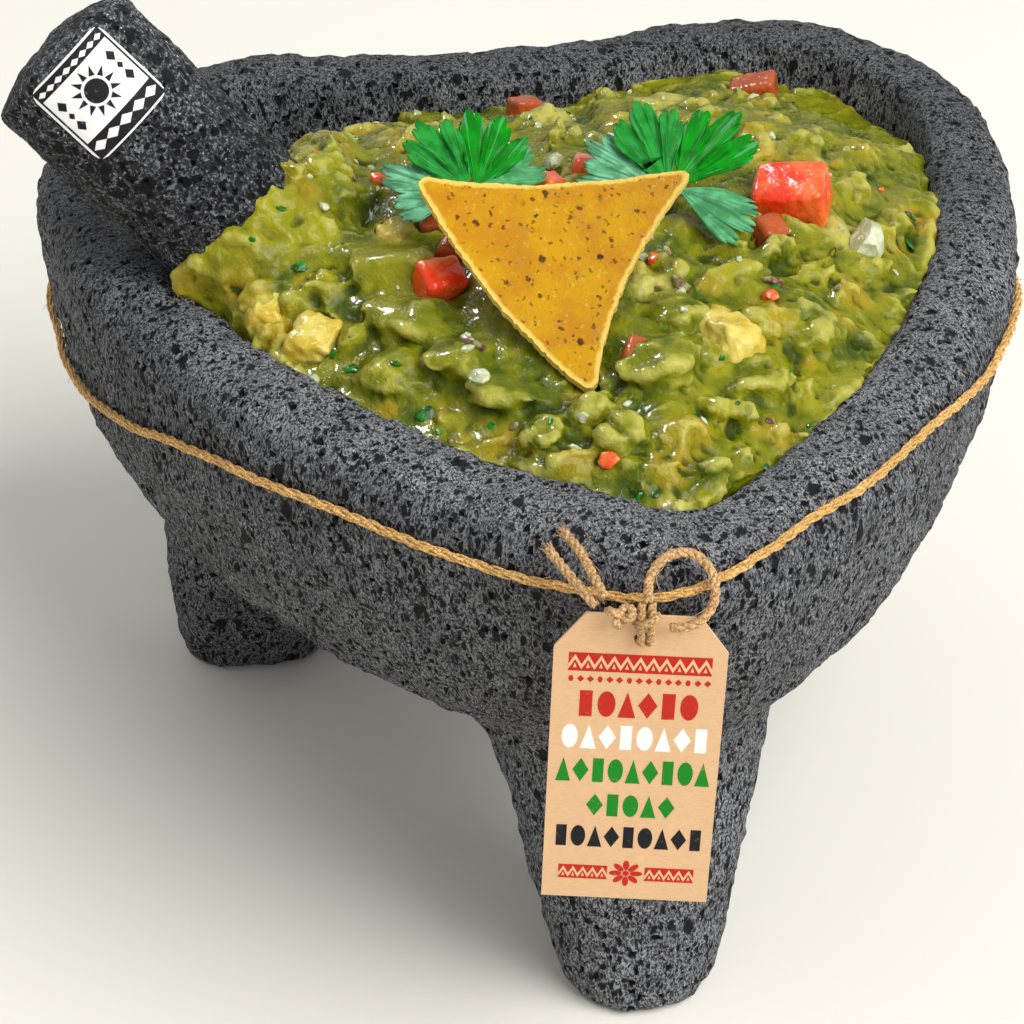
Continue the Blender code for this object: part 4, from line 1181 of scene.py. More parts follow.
def mash_push(spot, _normal):
    """Torn folds, small ridges and grit, weaker in the smooth places."""
    rough = 1.0 - 0.75 * calm((spot.x - HEART_X) / MM, (spot.y - HEART_Y) / MM)
    rough *= 0.55 + 0.45 * ease(COVERS["tejolote_pestle"].find_nearest(spot)[3], 0.001, 0.007)
    bent = spot * 150.0 + noise.noise_vector(spot * 80.0) * 1.8
    mound = noise.noise(spot * 85.0 + Vector((5.0, 2.0, 9.0)))
    fold = noise.noise(bent)
    ridge = 1.0 - 2.0 * abs(noise.noise(bent * 2.0 + Vector((3.0, 1.0, 7.0))))
    fine = noise.noise(spot * 820.0)
    step = 0.0012 * fold + 0.0008 * (ridge - 0.55) + 0.0003 * fine
    return (0.0008 + 0.0010 * rough) * mound + rough * step


def mash_finish():
    """Wet avocado mash: drifting greens, yellow flesh and pale folds, with painted shade dark in the
    hollows and creases and painted light and cream highlights on the ridges.
    """
    values = setting("guacamole")
    made, bench, shader = material("guacamole_mash", Subsurface_Weight=0.10,
                                   Subsurface_Scale=0.002,
                                   Coat_Roughness=0.07, Specular_IOR_Level=0.09)
    shader["Subsurface Radius"].default_value = (1.0, 0.9, 0.25)
    place = bench.place()
    tints = bench.add("SeparateColor", {"Color": bench.attribute("tint").outputs["Color"]})
    crease = bench.attribute("crease").outputs["Fac"]
    hollow = bench.attribute("hollow").outputs["Fac"]
    mottle = bench.group(mottle_group(), {"Vector": place, "Patch": 0.0055, "Fleck": 0.0013})
    broad = bench.window(bench.noise(place, 0.017, 2.0).outputs[0], 0.40, 0.62)
    green = bench.mix(broad, values.green, values.deep)
    # Painted shade: the hollows turn a deeper green.
    green = bench.mix(bench.window(hollow, 0.0, 0.9), green, values.deep)
    lighter = bench.maths("ADD", bench.maths("MULTIPLY", tints.outputs[1], 0.55),
                          bench.maths("MULTIPLY", mottle["Patches"], 0.40), clamp=True)
    base = bench.mix(lighter, green, values.light)
    # Painted light: the rounded tops turn the lighter mash colour.
    base = bench.mix(bench.window(hollow, -0.15, -0.95, 0.0, 0.60), base, values.light)
    flesh = bench.mix(mottle["Patches"], values.yellow, values.amber)
    base = bench.mix(bench.maths("MULTIPLY", tints.outputs[0], 0.80), base, flesh)
    base = bench.mix(bench.maths("MULTIPLY", tints.outputs[2], 0.75), base, values.cream_and_highlight)
    # Painted highlight: cream along the sharp ridges.
    base = bench.mix(bench.window(crease, -0.15, -0.80, 0.0, 0.50), base, values.cream_and_highlight)
    base = bench.mix(bench.maths("MULTIPLY", mottle["Flecks"], 0.35), base, values.light)
    # Painted shade: dark deep in the hollows and the creases.
    base = bench.mix(bench.window(hollow, 0.25, 1.0, 0.0, 0.45), base, values.dark)
    base = bench.mix(bench.window(crease, 0.10, 0.75, 0.0, 0.90), base, values.dark)
    bench.feed(shader["Base Color"], base)
    bench.feed(shader["Coat Weight"], bench.window(crease, 0.0, 0.45, 0.22, 0.02))
    bench.feed(shader["Roughness"], bench.window(
        bench.noise(place, 0.004, 2.0).outputs[0], 0.35, 0.65, 0.14, 0.34))
    grit = bench.noise(bench.moved(place, (1.0, 0.6, 1.0), (0.0, 0.0, 0.7)), 0.0012, 4.0,
                       0.8).outputs[0]
    bench.feed(shader["Normal"], bump(bench, grit, 0.0007, 0.65))
    return made


class MORTAR_OT_guacamole(bpy.types.Operator):
    """Makes the heaped guacamole: a lumpy wet skin that reaches just into the bowl's wall"""
    bl_idname = "mortar.guacamole"
    bl_label = "Guacamole"

    def execute(self, context):
        values = setting("guacamole")
        rng = random.Random(23)
        bm = merged_copy("guacamole")
        bm.normal_update()
        for vert in bm.verts:
            if abs(vert.normal.z) < 0.75:
                out = Vector((vert.normal.x, vert.normal.y, 0.0)).normalized()
                vert.co += out * 0.0010
            elif vert.normal.z > 0:
                vert.co.z -= 0.0008
        painted = pack_lumps(bm, rng, values.lumps)
        bm = voxel_skin(bm, values.skin)
        bm = thin_out(bm, lambda spot: spot.z < filling_top(spot) - 0.009, 0.60)
        push(bm, mash_push)
        bmesh.ops.smooth_vert(bm, verts=[v for v in bm.verts if v.co.z > 0.10], factor=0.30,
                              use_axis_x=True, use_axis_y=True, use_axis_z=True)
        mash = add_piece("guacamole_mash", bm, [mash_finish()], ["guacamole"])
        paint(mash, "tint", mash_tints(mash, painted))
        # The crease and hollow masks carry the painted shade and light; the crease also sets the coat.
        paint(mash, "crease", creases(mash.data, 9, 0.0009))
        paint(mash, "hollow", creases(mash.data, 45, 0.0022))
        return {"FINISHED"}


# ---------------------------------------------------------------- cut vegetables
# Small pieces in the mash. Each set: name, slot, colour, paler colour, placed ones as (x, y,
# size, turn, lift) in mm from the heart's centre, how many more are scattered, and their sizes.
BITS = (
    ("onion_bits", "guacamole", "onion", "onion_pale",
     ((-31.5, -73.6, (5.6, 4.8, 3.4), 30, 0.8), (59.9, -33.2, (9.0, 10.5, 5.5), 20, 1.2),
      (-0.6, -4.0, (5.0, 4.4, 4.0), 0, 1.6), (-62.0, -40.5, (2.6, 1.8, 1.8), 0, 0.9)),
     58, (1.4, 3.2)),
    ("red_onion_bits", "guacamole", "red_onion", "onion",
     ((-31.1, -64.3, (6.6, 1.5, 1.6), 62, 0.5), (13.0, -54.8, (5.6, 4.4, 3.0), 20, 0.8),
      (33.0, -52.5, (5.2, 2.2, 2.2), 10, 0.6), (47.0, -52.0, (4.0, 1.6, 1.8), 50, 0.4)),
     9, (1.6, 3.4)),
    ("tomato_bits", "tomato", "tomato_light", "tomato",
     ((31.3, -57.2, (6.4, 4.0, 3.0), 5, 0.6), (10.3, -45.5, (3.8, 3.4, 2.6), 0, 0.8),
      (-11.5, -98.0, (4.4, 3.4, 2.8), 30, 0.8), (-38.1, -3.1, (4.6, 3.6, 2.8), 10, 1.0),
      (-8.5, -14.5, (5.2, 3.6, 3.0), 10, 1.2)),
     3, (1.4, 2.6)),
    ("herb_bits", "leaf", "herb", "leaf",
     ((-53.2, -54.4, (4.4, 2.8, 0.9), 20, 0.2), (-41.9, -71.3, (4.6, 3.0, 0.9), 60, 0.2),
      (-56.0, -49.0, (3.2, 2.0, 0.8), 80, 0.2), (70.0, -28.0, (5.0, 3.0, 0.9), 30, 0.4),
      (-59.0, -28.0, (3.6, 2.4, 0.8), 10, 0.3), (72.0, -22.0, (3.8, 2.6, 0.9), 70, 0.5)),
     70, (1.0, 3.0)),
)


def flesh_finish(name, tint, pale, gloss, patch=0.004, coat=0.3):
    """Wet cut vegetable: drifting colour, small pale cells and a clear wet coat."""
    made, bench, shader = material(name, Subsurface_Weight=0.12, Subsurface_Scale=0.002,
                                   Coat_Weight=coat, Coat_Roughness=0.05,
                                   Specular_IOR_Level=0.25)
    shader["Subsurface Radius"].default_value = (1.0, 0.5, 0.3)
    place = bench.place()
    mottle = bench.group(mottle_group(), {"Vector": place, "Patch": patch, "Fleck": 0.0009})
    base = bench.mix(bench.maths("MULTIPLY", mottle["Patches"], 0.75), tint, pale)
    base = bench.mix(bench.maths("MULTIPLY", mottle["Flecks"], 0.35), base, pale)
    bench.feed(shader["Base Color"], base)
    bench.feed(shader["Roughness"], bench.window(mottle["Patches"], 0.0, 1.0, gloss,
                                                 gloss + 0.15))
    bench.feed(shader["Normal"], bump(bench, bench.noise(place, 0.0011, 3.0).outputs[0],
                                      0.0005, 0.6))
    return made


class MORTAR_OT_bits(bpy.types.Operator):
    """Makes the small onion, tomato and herb pieces, one mesh for each kind"""
    bl_idname = "mortar.bits"
    bl_label = "Small pieces"

    def execute(self, context):
        values = setting("toppings")
        skin = bmesh.new()
        skin.from_mesh(bpy.data.objects["guacamole_mash"].data)
        skin.normal_update()
        tree = BVHTree.FromBMesh(skin)
        for seed, (name, slot, tint, pale, placed, count, sizes) in enumerate(BITS):
            rng = random.Random(60 + seed)
            flat = placed[0][2][2] / placed[0][2][0] < 0.3
            bm = bmesh.new()
            for x, y, size, turn, lift in placed:
                spot, normal = heap_spot(x, y, tree)
                self.bury(bm, spot, normal, size, turn, lift, rng)
            for spot, normal in scattered_spots(skin, count, rng):
                if covered(spot, 0.008):
                    continue
                across = rng.uniform(*sizes)
                size = (across, across * rng.uniform(0.5, 0.9),
                        across * (0.22 if flat else rng.uniform(0.45, 0.8)))
                self.bury(bm, spot, normal, size, rng.uniform(0, 180), 0.05 * across, rng)
            finish = flesh_finish(name.replace("bits", "flesh"), getattr(values, tint),
                                  getattr(values, pale), 0.14, 0.002)
            add_piece(name, bm, [finish], sharp=40)
        skin.free()
        return {"FINISHED"}

    def bury(self, bm, spot, normal, size, turn, lift, rng):
        """Sets one piece half into the mash, along the surface there."""
        stand = normal.to_track_quat("Z", "Y").to_matrix().to_4x4()
        lean = stand @ turned(rng.uniform(-18, 18), rng.uniform(-18, 18), turn)
        chunk(bm, spot + normal * lift * MM, [side * MM for side in size], lean, rng, 2, 4, 0.35)


def uneven_block(bm, skin, waviness, seed):
    """A closed block with a fine skin, softened and made uneven."""
    bm = voxel_skin(bm, skin)
    shift = Vector((seed * 3.1, seed * 1.3, seed * 0.7))
    push(bm, lambda spot, _: waviness * noise.noise(spot * 170.0 + shift)
         + 0.40 * waviness * noise.noise(spot * 560.0 + shift))
    return bm


class MORTAR_OT_tomato(bpy.types.Operator):
    """Makes the diced tomato"""
    bl_idname = "mortar.tomato"
    bl_label = "Diced tomato"

    def execute(self, context):
        values = setting("toppings")
        finish = flesh_finish("tomato_flesh", values.tomato, values.tomato_light, 0.10, 0.006,
                              0.5)
        dark = flesh_finish("tomato_deep", values.tomato_deep,
                            [c * 0.5 for c in values.tomato_light], 0.16, 0.005)
        nodes = sorted(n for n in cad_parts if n.startswith("tomato_dice"))
        for seed, node in enumerate(nodes):
            sunk = node in SUNK_DICE
            bm = merged_copy(node)
            middle = sum((vert.co for vert in bm.verts), Vector()) / len(bm.verts)
            for vert in bm.verts:
                vert.co += (vert.co - middle).normalized() * SUNK_DICE.get(node, DICE_GROWTH)
            bm = uneven_block(bm, DICE_SKIN, DICE_WAVINESS, seed)
            add_piece(node.replace("dice", "cube"), bm, [dark if sunk else finish],
                      [node])
        return {"FINISHED"}


# Dice that show less, in a deeper red: how far each one's corners move out.
SUNK_DICE = {"tomato_dice_03": 0.0, "tomato_dice_04": -0.0002, "tomato_dice_05": -0.0009,
             "tomato_dice_06": -0.0014, "tomato_dice_09": -0.0003, "tomato_dice_10": -0.0011}
DICE_GROWTH = 0.0002
DICE_SKIN = 0.00055
DICE_WAVINESS = 0.0006
SLAB_SKIN = 0.0006
SLAB_WAVINESS = 0.0018
# How each avocado slab lies: its tilts about X and Y and its turn, in degrees.
SLAB_TURNS = ((16.0, 12.0, -32.0), (-14.0, 10.0, 22.0), (12.0, -10.0, 40.0), (14.0, 8.0, -12.0))
SLAB_FILL = 0.94
SLAB_SINK = 0.0010


class MORTAR_OT_avocado(bpy.types.Operator):
    """Makes the avocado chunks"""
    bl_idname = "mortar.avocado"
    bl_label = "Avocado chunks"

    def execute(self, context):
        values = setting("toppings")
        finish = flesh_finish("avocado_flesh", values.avocado, values.avocado_pale, 0.20, 0.005,
                              0.15)
        nodes = sorted(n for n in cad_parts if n.startswith("avocado_chunk"))
        for seed, (node, turn) in enumerate(zip(nodes, SLAB_TURNS)):
            low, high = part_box(node)
            bm = bmesh.new()
            bmesh.ops.create_cube(bm, size=1.0)
            bmesh.ops.bevel(bm, geom=bm.edges[:], offset=0.24, segments=3, profile=0.5,
                            affect="EDGES", material=-1)
            for vert in bm.verts:
                narrow = 1.0 - 0.22 * (vert.co.z + 0.5)
                vert.co.x, vert.co.y = vert.co.x * narrow, vert.co.y * narrow
            place = Matrix.Translation((low + high) / 2 + DOWN * SLAB_SINK) @ turned(*turn)
            place = place @ Matrix.Diagonal((*((high - low) * SLAB_FILL), 1.0))
            bmesh.ops.transform(bm, matrix=place, verts=bm.verts)
            bm = uneven_block(bm, SLAB_SKIN, SLAB_WAVINESS, seed + 20)
            add_piece(node.replace("chunk", "piece"), bm, [finish], [node])
        return {"FINISHED"}


# ---------------------------------------------------------------- chip
CHIP_PLACE = (-0.0085, -0.0372, 0.1670)
CHIP_TURN = -11.5
CHIP_SLOPE = 27.5
CHIP_CORNERS = ((-0.0285, -0.0006), (0.0070, -0.0500), (0.0282, 0.0008))
CHIP_BULGES = (0.0022, -0.0040, -0.0010)
CHIP_CUP = 0.0035
CHIP_STEP = 0.0006
# Dark specks of three sizes: (spacing, share of cells left bare, reach in a cell, strength).
CHIP_SPECKS = ((0.0038, 0.50, 0.24, 0.9), (0.0022, 0.56, 0.27, 0.8), (0.0012, 0.60, 0.36, 0.6))


def chip_outline():
    """A straight-edged triangle with rounded corners, in the chip's own plane."""
    bm = bmesh.new()
    corners = [bm.verts.new((x, y, 0.0)) for x, y in CHIP_CORNERS]
    bm.faces.new(corners)
    bmesh.ops.bevel(bm, geom=corners, offset=0.0042, segments=6, profile=0.5, affect="VERTICES",
                    material=-1)
    return bm


def chip_sheet():
    """The chip's flat shape cut into small squares."""
    bm = chip_outline()
    low = Vector((min(v.co.x for v in bm.verts), min(v.co.y for v in bm.verts), 0.0))
    high = Vector((max(v.co.x for v in bm.verts), max(v.co.y for v in bm.verts), 0.0))
    for axis in (0, 1):
        way = Vector((1.0, 0.0, 0.0)) if axis == 0 else Vector((0.0, 1.0, 0.0))
        for spot in np.arange(low[axis] + CHIP_STEP, high[axis], CHIP_STEP):
            bmesh.ops.bisect_plane(bm, geom=bm.verts[:] + bm.edges[:] + bm.faces[:],
                                   plane_co=way * float(spot), plane_no=way, dist=0.00005)
    return bm


def chip_rim_distance(bm):
    """Distance of each vertex from the sheet's edge."""
    edge = [vert.co.copy() for vert in bm.verts if vert.is_boundary]
    tree = KDTree(len(edge))
    for i, spot in enumerate(edge):
        tree.insert(spot, i)
    tree.balance()
    return {vert: tree.find(vert.co)[2] for vert in bm.verts}


def chip_bow(spot):
    """Moves a point of the plane so that the triangle's edges bow as baked ones do."""
    x, y = spot.x, spot.y
    corners = [Vector(corner) for corner in CHIP_CORNERS]
    for i, bulge in enumerate(CHIP_BULGES):
        start, end, far = corners[i], corners[(i + 1) % 3], corners[(i + 2) % 3]
        run = end - start
        out = Vector((run.y, -run.x)).normalized()
        along = (Vector((x, y)) - start).dot(run) / run.length_squared
        height = abs((far - start).dot(out))
        near = 1.0 - min(abs((Vector((x, y)) - start).dot(out)) / height, 1.0)
        step = bulge * 4 * max(along * (1 - along), 0.0) * near**1.5
        x, y = x + out.x * step, y + out.y * step
    return x, y


def chip_matrix():
    turn = Matrix.Rotation(math.radians(CHIP_TURN), 4, "Z")
    slope = Matrix.Rotation(math.radians(CHIP_SLOPE), 4, "X")
    return Matrix.Translation(at_heart(*CHIP_PLACE)) @ turn @ slope


def chip_finish():
    """Fried corn: golden with deeper patches, dark specks and a pale crumbly edge."""
    values = setting("chip")
    made, bench, shader = material("fried_corn", Specular_IOR_Level=0.10)
    place = bench.place()
    rim = bench.attribute("rim").outputs["Fac"]
    mottle = bench.group(mottle_group(), {"Vector": place, "Patch": 0.0075, "Fleck": 0.0011})
    base = bench.mix(bench.maths("MULTIPLY", mottle["Patches"], 0.6), values.golden, values.deep)
    base = bench.mix(bench.maths("MULTIPLY", mottle["Flecks"], 0.30), base, values.edge)
    sway = bench.add("VectorMath", {0: bench.noise(place, 0.0011, 2.0).outputs["Color"],
                                    "Scale": 0.0016}, operation="SCALE").outputs[0]
    ragged_place = bench.add("VectorMath", {0: place, 1: sway}, operation="ADD").outputs[0]
    for spacing, low, reach, strength in CHIP_SPECKS:
        cells = bench.add("TexVoronoi", {"Vector": bench.moved(ragged_place, (1.0, 0.62, 1.0)),
                                         "Scale": 1.0 / spacing, "Randomness": 1.0})
        pick = bench.add("SeparateColor", {"Color": cells.outputs["Color"]}).outputs[0]
        spot = bench.maths("MULTIPLY", bench.window(pick, low, low + 0.12),
                           bench.window(cells.outputs["Distance"], reach, reach * 0.55))
        base = bench.mix(bench.maths("MULTIPLY", spot, strength), base, values.char)
    ragged = bench.maths("ADD", rim, bench.maths("MULTIPLY", bench.maths(
        "SUBTRACT", bench.noise(place, 0.0016, 2.0).outputs[0], 0.5), 0.9))
    base = bench.mix(bench.window(ragged, 0.95, 0.35), base, values.edge)
    bench.feed(shader["Base Color"], base)
    bench.feed(shader["Roughness"], bench.window(mottle["Patches"], 0.0, 1.0, 0.62, 0.45))
    crumb = bench.noise(place, 0.0008, 4.0, 0.5).outputs[0]
    bench.feed(shader["Normal"], bump(bench, crumb, 0.0004, 0.8))
    return made


class MORTAR_OT_chip(bpy.types.Operator):
    """Makes the tortilla chip, cupped and blistered"""
    bl_idname = "mortar.chip"
    bl_label = "Tortilla chip"

    def execute(self, context):
        values = setting("chip")
        bm = chip_sheet()
        layer = bm.verts.layers.float.new("rim")
        rim_at = chip_rim_distance(bm)
        for vert, away in rim_at.items():
            vert[layer] = away / 0.0014
        for vert in bm.verts:
            x, y = chip_bow(vert.co)
            ragged = 0.0005 * noise.noise(Vector((x, y, 0.3)) * 900.0)
            ragged *= 1.0 - ease(rim_at[vert], 0.0, 0.0012)
            way = Vector((x, y - CHIP_CORNERS[1][1] / 3)).normalized()
            x, y = x + way.x * ragged, y + way.y * ragged
            blister = noise.noise(Vector((x, y, 0.0)) * 120.0)
            dimple = noise.noise(Vector((x, y, 2.0)) * 420.0)
            z = CHIP_CUP * (x / CHIP_CORNERS[2][0]) ** 2
            z += 0.00055 * blister + 0.00022 * dimple
            vert.co = Vector((x, y, z))
        bm.normal_update()
        if sum(face.normal.z for face in bm.faces) < 0:
            bmesh.ops.reverse_faces(bm, faces=bm.faces)
        half = values.thickness / 2
        bmesh.ops.translate(bm, verts=bm.verts, vec=(0.0, 0.0, half))
        under = bmesh.ops.extrude_face_region(bm, geom=bm.faces[:], use_keep_orig=True)
        fresh = [item for item in under["geom"] if isinstance(item, bmesh.types.BMVert)]
        bmesh.ops.translate(bm, verts=fresh, vec=(0.0, 0.0, -2 * half))
        bmesh.ops.recalc_face_normals(bm, faces=bm.faces)
        bmesh.ops.transform(bm, matrix=chip_matrix(), verts=bm.verts)
        add_piece("corn_chip", bm, [chip_finish()], ["tortilla_chip"], sharp=50)
        return {"FINISHED"}


# ---------------------------------------------------------------- coriander
# Sprigs: (node, x, y, turn, tilt, growth). Leaflets: (x, y, way, length, half angle, lobes,
# how deep their notches are, paleness, rise) in the sprig's own plane, mm and degrees.
SPRIGS = (("coriander_sprig_left", -0.0212, -0.0196, 10.0, 20.0, 1.0),
          ("coriander_sprig_right", 0.0180, -0.0285, -14.0, 20.0, 1.10))
LEAFLETS = (
    (-3.0, 0.0, 160.0, 16.5, 46.0, 5, 0.20, 1.0, 0.6),
    (1.0, 0.5, 8.0, 16.0, 26.0, 3, 0.24, 0.55, 0.6),
    (0.5, 0.5, 52.0, 20.5, 36.0, 3, 0.54, 0.0, 2.6),
    (-1.0, 0.5, 108.0, 18.5, 34.0, 3, 0.44, 0.12, 3.2),
)
HANGING_LEAFLET = (1.0, -0.5, -24.0, 16.5, 34.0, 4, 0.22, 0.70, -1.0)
LEAF_THICKNESS = 0.00030
TEETH_PER_LOBE = 3


def lobed(across, lobes, deep):
    """Share of a leaflet's length at a place across it: rounded lobes with small teeth."""
    def scallops(number, depth):
        part = ((across + 1.0) / 2.0 * number) % 1.0 * 2.0 - 1.0
        return 1.0 - depth * (1.0 - math.sqrt(max(1.0 - part * part, 0.0)))
    return (1.0 - 0.22 * across**2) * scallops(lobes, deep) * scallops(
        lobes * TEETH_PER_LOBE, 0.125)


def leaflet(bm, spec, uv, pale_layer, seed):
    """One fan-shaped leaflet with lobes and teeth round its edge, pleated along its veins."""
    x, y, way, reach, half_angle, lobes, deep, paleness, rise = spec
    grid = bmesh.ops.create_grid(bm, x_segments=72, y_segments=12, size=0.5)["verts"]
    for vert in grid:
        across, along = vert.co.x * 2.0, vert.co.y + 0.5
        ripple = noise.noise(Vector((across * 2.2, along * 1.6, seed * 7.1)))
        angle = math.radians(way - across * half_angle + 5.0 * ripple * along)
        run = reach * lobed(across, lobes, deep * min(along * 1.4, 1.0)) * along
        run *= 1.0 + 0.22 * noise.noise(Vector((across * 1.9, seed * 3.3, 0.0)))
        pleat = 0.30 * along * math.cos(math.pi * lobes * across) + 1.1 * ripple * along
        arch = rise * along**1.5 - 1.5 * (across * along) ** 2
        vert.co = Vector((x + run * math.cos(angle), y + run * math.sin(angle),
                          arch + pleat)) * MM
        vert[pale_layer] = paleness
        for loop in vert.link_loops:
            loop[uv].uv = (across * 0.5 + 0.5 + seed, along)


def leaf_finish():
    """Coriander leaf: light veins that fan out, a soft sheen, and grey-green older leaflets."""
    values = setting("toppings")
    made, bench, shader = material("coriander_leaf", Roughness=0.36, Specular_IOR_Level=0.05)
    flat = bench.add("UVMap", uv_map="fan").outputs["UV"]
    place = bench.place()
    pale = bench.attribute("pale").outputs["Fac"]
    tint = bench.mix(pale, values.leaf, values.leaf_pale)
    shade = bench.window(bench.noise(place, 0.0035, 3.0).outputs[0], 0.38, 0.62)
    tint = bench.mix(bench.maths("MULTIPLY", shade, 0.55), tint,
                     [c * 0.40 for c in values.leaf])
    veins = bench.add("TexNoise", {"Vector": bench.moved(flat, (19.0, 1.3, 1.0)), "Scale": 1.0,
                                   "Detail": 3.0, "Distortion": 0.35}).outputs[0]
    dark_veins = bench.maths("MULTIPLY", bench.window(veins, 0.50, 0.58), pale)
    light_veins = bench.maths("MULTIPLY", bench.window(veins, 0.58, 0.65),
                              bench.maths("SUBTRACT", 1.0, pale))
    tint = bench.mix(bench.maths("MULTIPLY", dark_veins, 0.80), tint,
                     [c * 0.28 for c in values.leaf_pale])
    tint = bench.mix(bench.maths("MULTIPLY", light_veins, 0.34), tint, values.leaf_pale)
    bench.feed(shader["Base Color"], tint)
    bench.feed(shader["Normal"], bump(bench, veins, 0.0004, 0.8))
    return made


class MORTAR_OT_coriander(bpy.types.Operator):
    """Makes the two coriander sprigs"""
    bl_idname = "mortar.coriander"
    bl_label = "Coriander"

    def execute(self, context):
        finish = leaf_finish()
        for number, (node, x, y, turn, tilt, grow) in enumerate(SPRIGS):
            bm = bmesh.new()
            uv = bm.loops.layers.uv.new("fan")
            pale = bm.verts.layers.float.new("pale")
            specs = list(LEAFLETS)
            if number == 1:
                specs[1] = HANGING_LEAFLET
            for seed, spec in enumerate(specs):
                leaflet(bm, spec, uv, pale, seed + 5 * number)
            bmesh.ops.scale(bm, verts=bm.verts, vec=(grow, grow, grow))
            bmesh.ops.remove_doubles(bm, verts=bm.verts, dist=0.00001)
            bmesh.ops.solidify(bm, geom=bm.faces[:], thickness=LEAF_THICKNESS)
            low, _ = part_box(node)
            base = at_heart(x, y, low.z + 0.0014)
            bmesh.ops.transform(bm, matrix=Matrix.Translation(base) @ turned(tilt, 0.0, turn),
                                verts=bm.verts)
            add_piece(node.replace("sprig", "leaves"), bm, [finish], [node])
        return {"FINISHED"}


# ---------------------------------------------------------------- tag and sticker
TAG_HOLE_PLACE = (-0.0133, -0.1313, 0.1236)
TAG_TURN = -14.0
TAG_LEAN = 1.8
TAG_FACE = 0.0003
# Print rows: (middle height in mm from the hole, row width, shape height, count, colour).
PRINT_ROWS = (
    (-15.4, 23.0, 7.0, 6, "red"), (-23.2, 28.0, 6.6, 8, "white"),
    (-31.2, 29.5, 6.6, 9, "green"), (-39.6, 17.0, 6.2, 5, "green"),
    (-47.4, 28.8, 6.0, 9, "black"),
)


def tag_matrix():
    """Local X runs across the tag, Y up it and Z out of its printed face, from its hole."""
    return (Matrix.Translation(at_heart(*TAG_HOLE_PLACE))
            @ Matrix.Rotation(math.radians(TAG_TURN), 4, "Z")
            @ Matrix.Rotation(math.radians(90), 4, "X")
            @ Matrix.Rotation(math.radians(-TAG_LEAN), 4, "Z"))


def patch(bm, points, relief, base):
    """A flat printed shape, given by its corners in mm, with a little thickness."""
    corners = [bm.verts.new((x * MM, y * MM, base)) for x, y in points]
    face = bm.faces.new(corners)
    face.normal_update()
    if face.normal.z < 0:
        face.normal_flip()
    rise = bmesh.ops.extrude_face_region(bm, geom=[face], use_keep_orig=True)
    fresh = [item for item in rise["geom"] if isinstance(item, bmesh.types.BMVert)]
    bmesh.ops.translate(bm, verts=fresh, vec=(0.0, 0.0, relief))


def regular(x, y, across, high, sides, turn=0.0):
    """Corners of a regular shape that fits a width and a height."""
    return [(x + across / 2 * math.cos(math.tau * i / sides + turn),
             y + high / 2 * math.sin(math.tau * i / sides + turn)) for i in range(sides)]


def row_shape(kind, x, y, across, high):
    """Corners of one of the plain shapes that fill a printed row."""
    half, top = across / 2, high / 2
    if kind == 0:
        return [(x - half, y - top), (x + half, y - top), (x + half, y + top), (x - half, y + top)]
    if kind == 1:
        return regular(x, y, across * 1.08, high, 4)
    if kind == 2:
        return [(x - half, y - top), (x + half, y - top), (x, y + top)]
    return regular(x, y, across * 1.02, high, 16)


def add_print(name, bm, tint, matrix, ground):
    """Makes one colour of a print, a little worn through to the ground's colour."""
    finish, bench, shader = material(name + "_ink", Roughness=0.6, Specular_IOR_Level=0.15)
    worn = bench.window(bench.noise(bench.place(), 0.0012, 3.0).outputs[0], 0.62, 0.80, 0.0, 0.25)
    bench.feed(shader["Base Color"], bench.mix(worn, tint, ground))
    bmesh.ops.recalc_face_normals(bm, faces=bm.faces)
    bmesh.ops.transform(bm, matrix=matrix, verts=bm.verts)
    return add_piece(name, bm, [finish], sharp=30)


def zigzag_band(red, pale, y, high, left, right, teeth, relief):
    """A coloured band with a pale zigzag line and small triangles, a traditional border."""
    patch(red, [(left, y - high / 2), (right, y - high / 2), (right, y + high / 2),
                (left, y + high / 2)], relief, TAG_FACE)
    step = (right - left) / teeth
    line = high * 0.13
    for i in range(teeth):
        x = left + step * i
        low, top = y - high * 0.27, y + high * 0.27
        for start, end in (((x, low), (x + step / 2, top)), ((x + step / 2, top),
                                                             (x + step, low))):
            patch(pale, [(start[0], start[1] - line), (end[0], end[1] - line),
                         (end[0], end[1] + line), (start[0], start[1] + line)], relief,
                  TAG_FACE + relief)
        patch(pale, [(x + step * 0.36, low - line * 0.3), (x + step * 0.64, low - line * 0.3),
                     (x + step / 2, y - high * 0.04)], relief, TAG_FACE + relief)


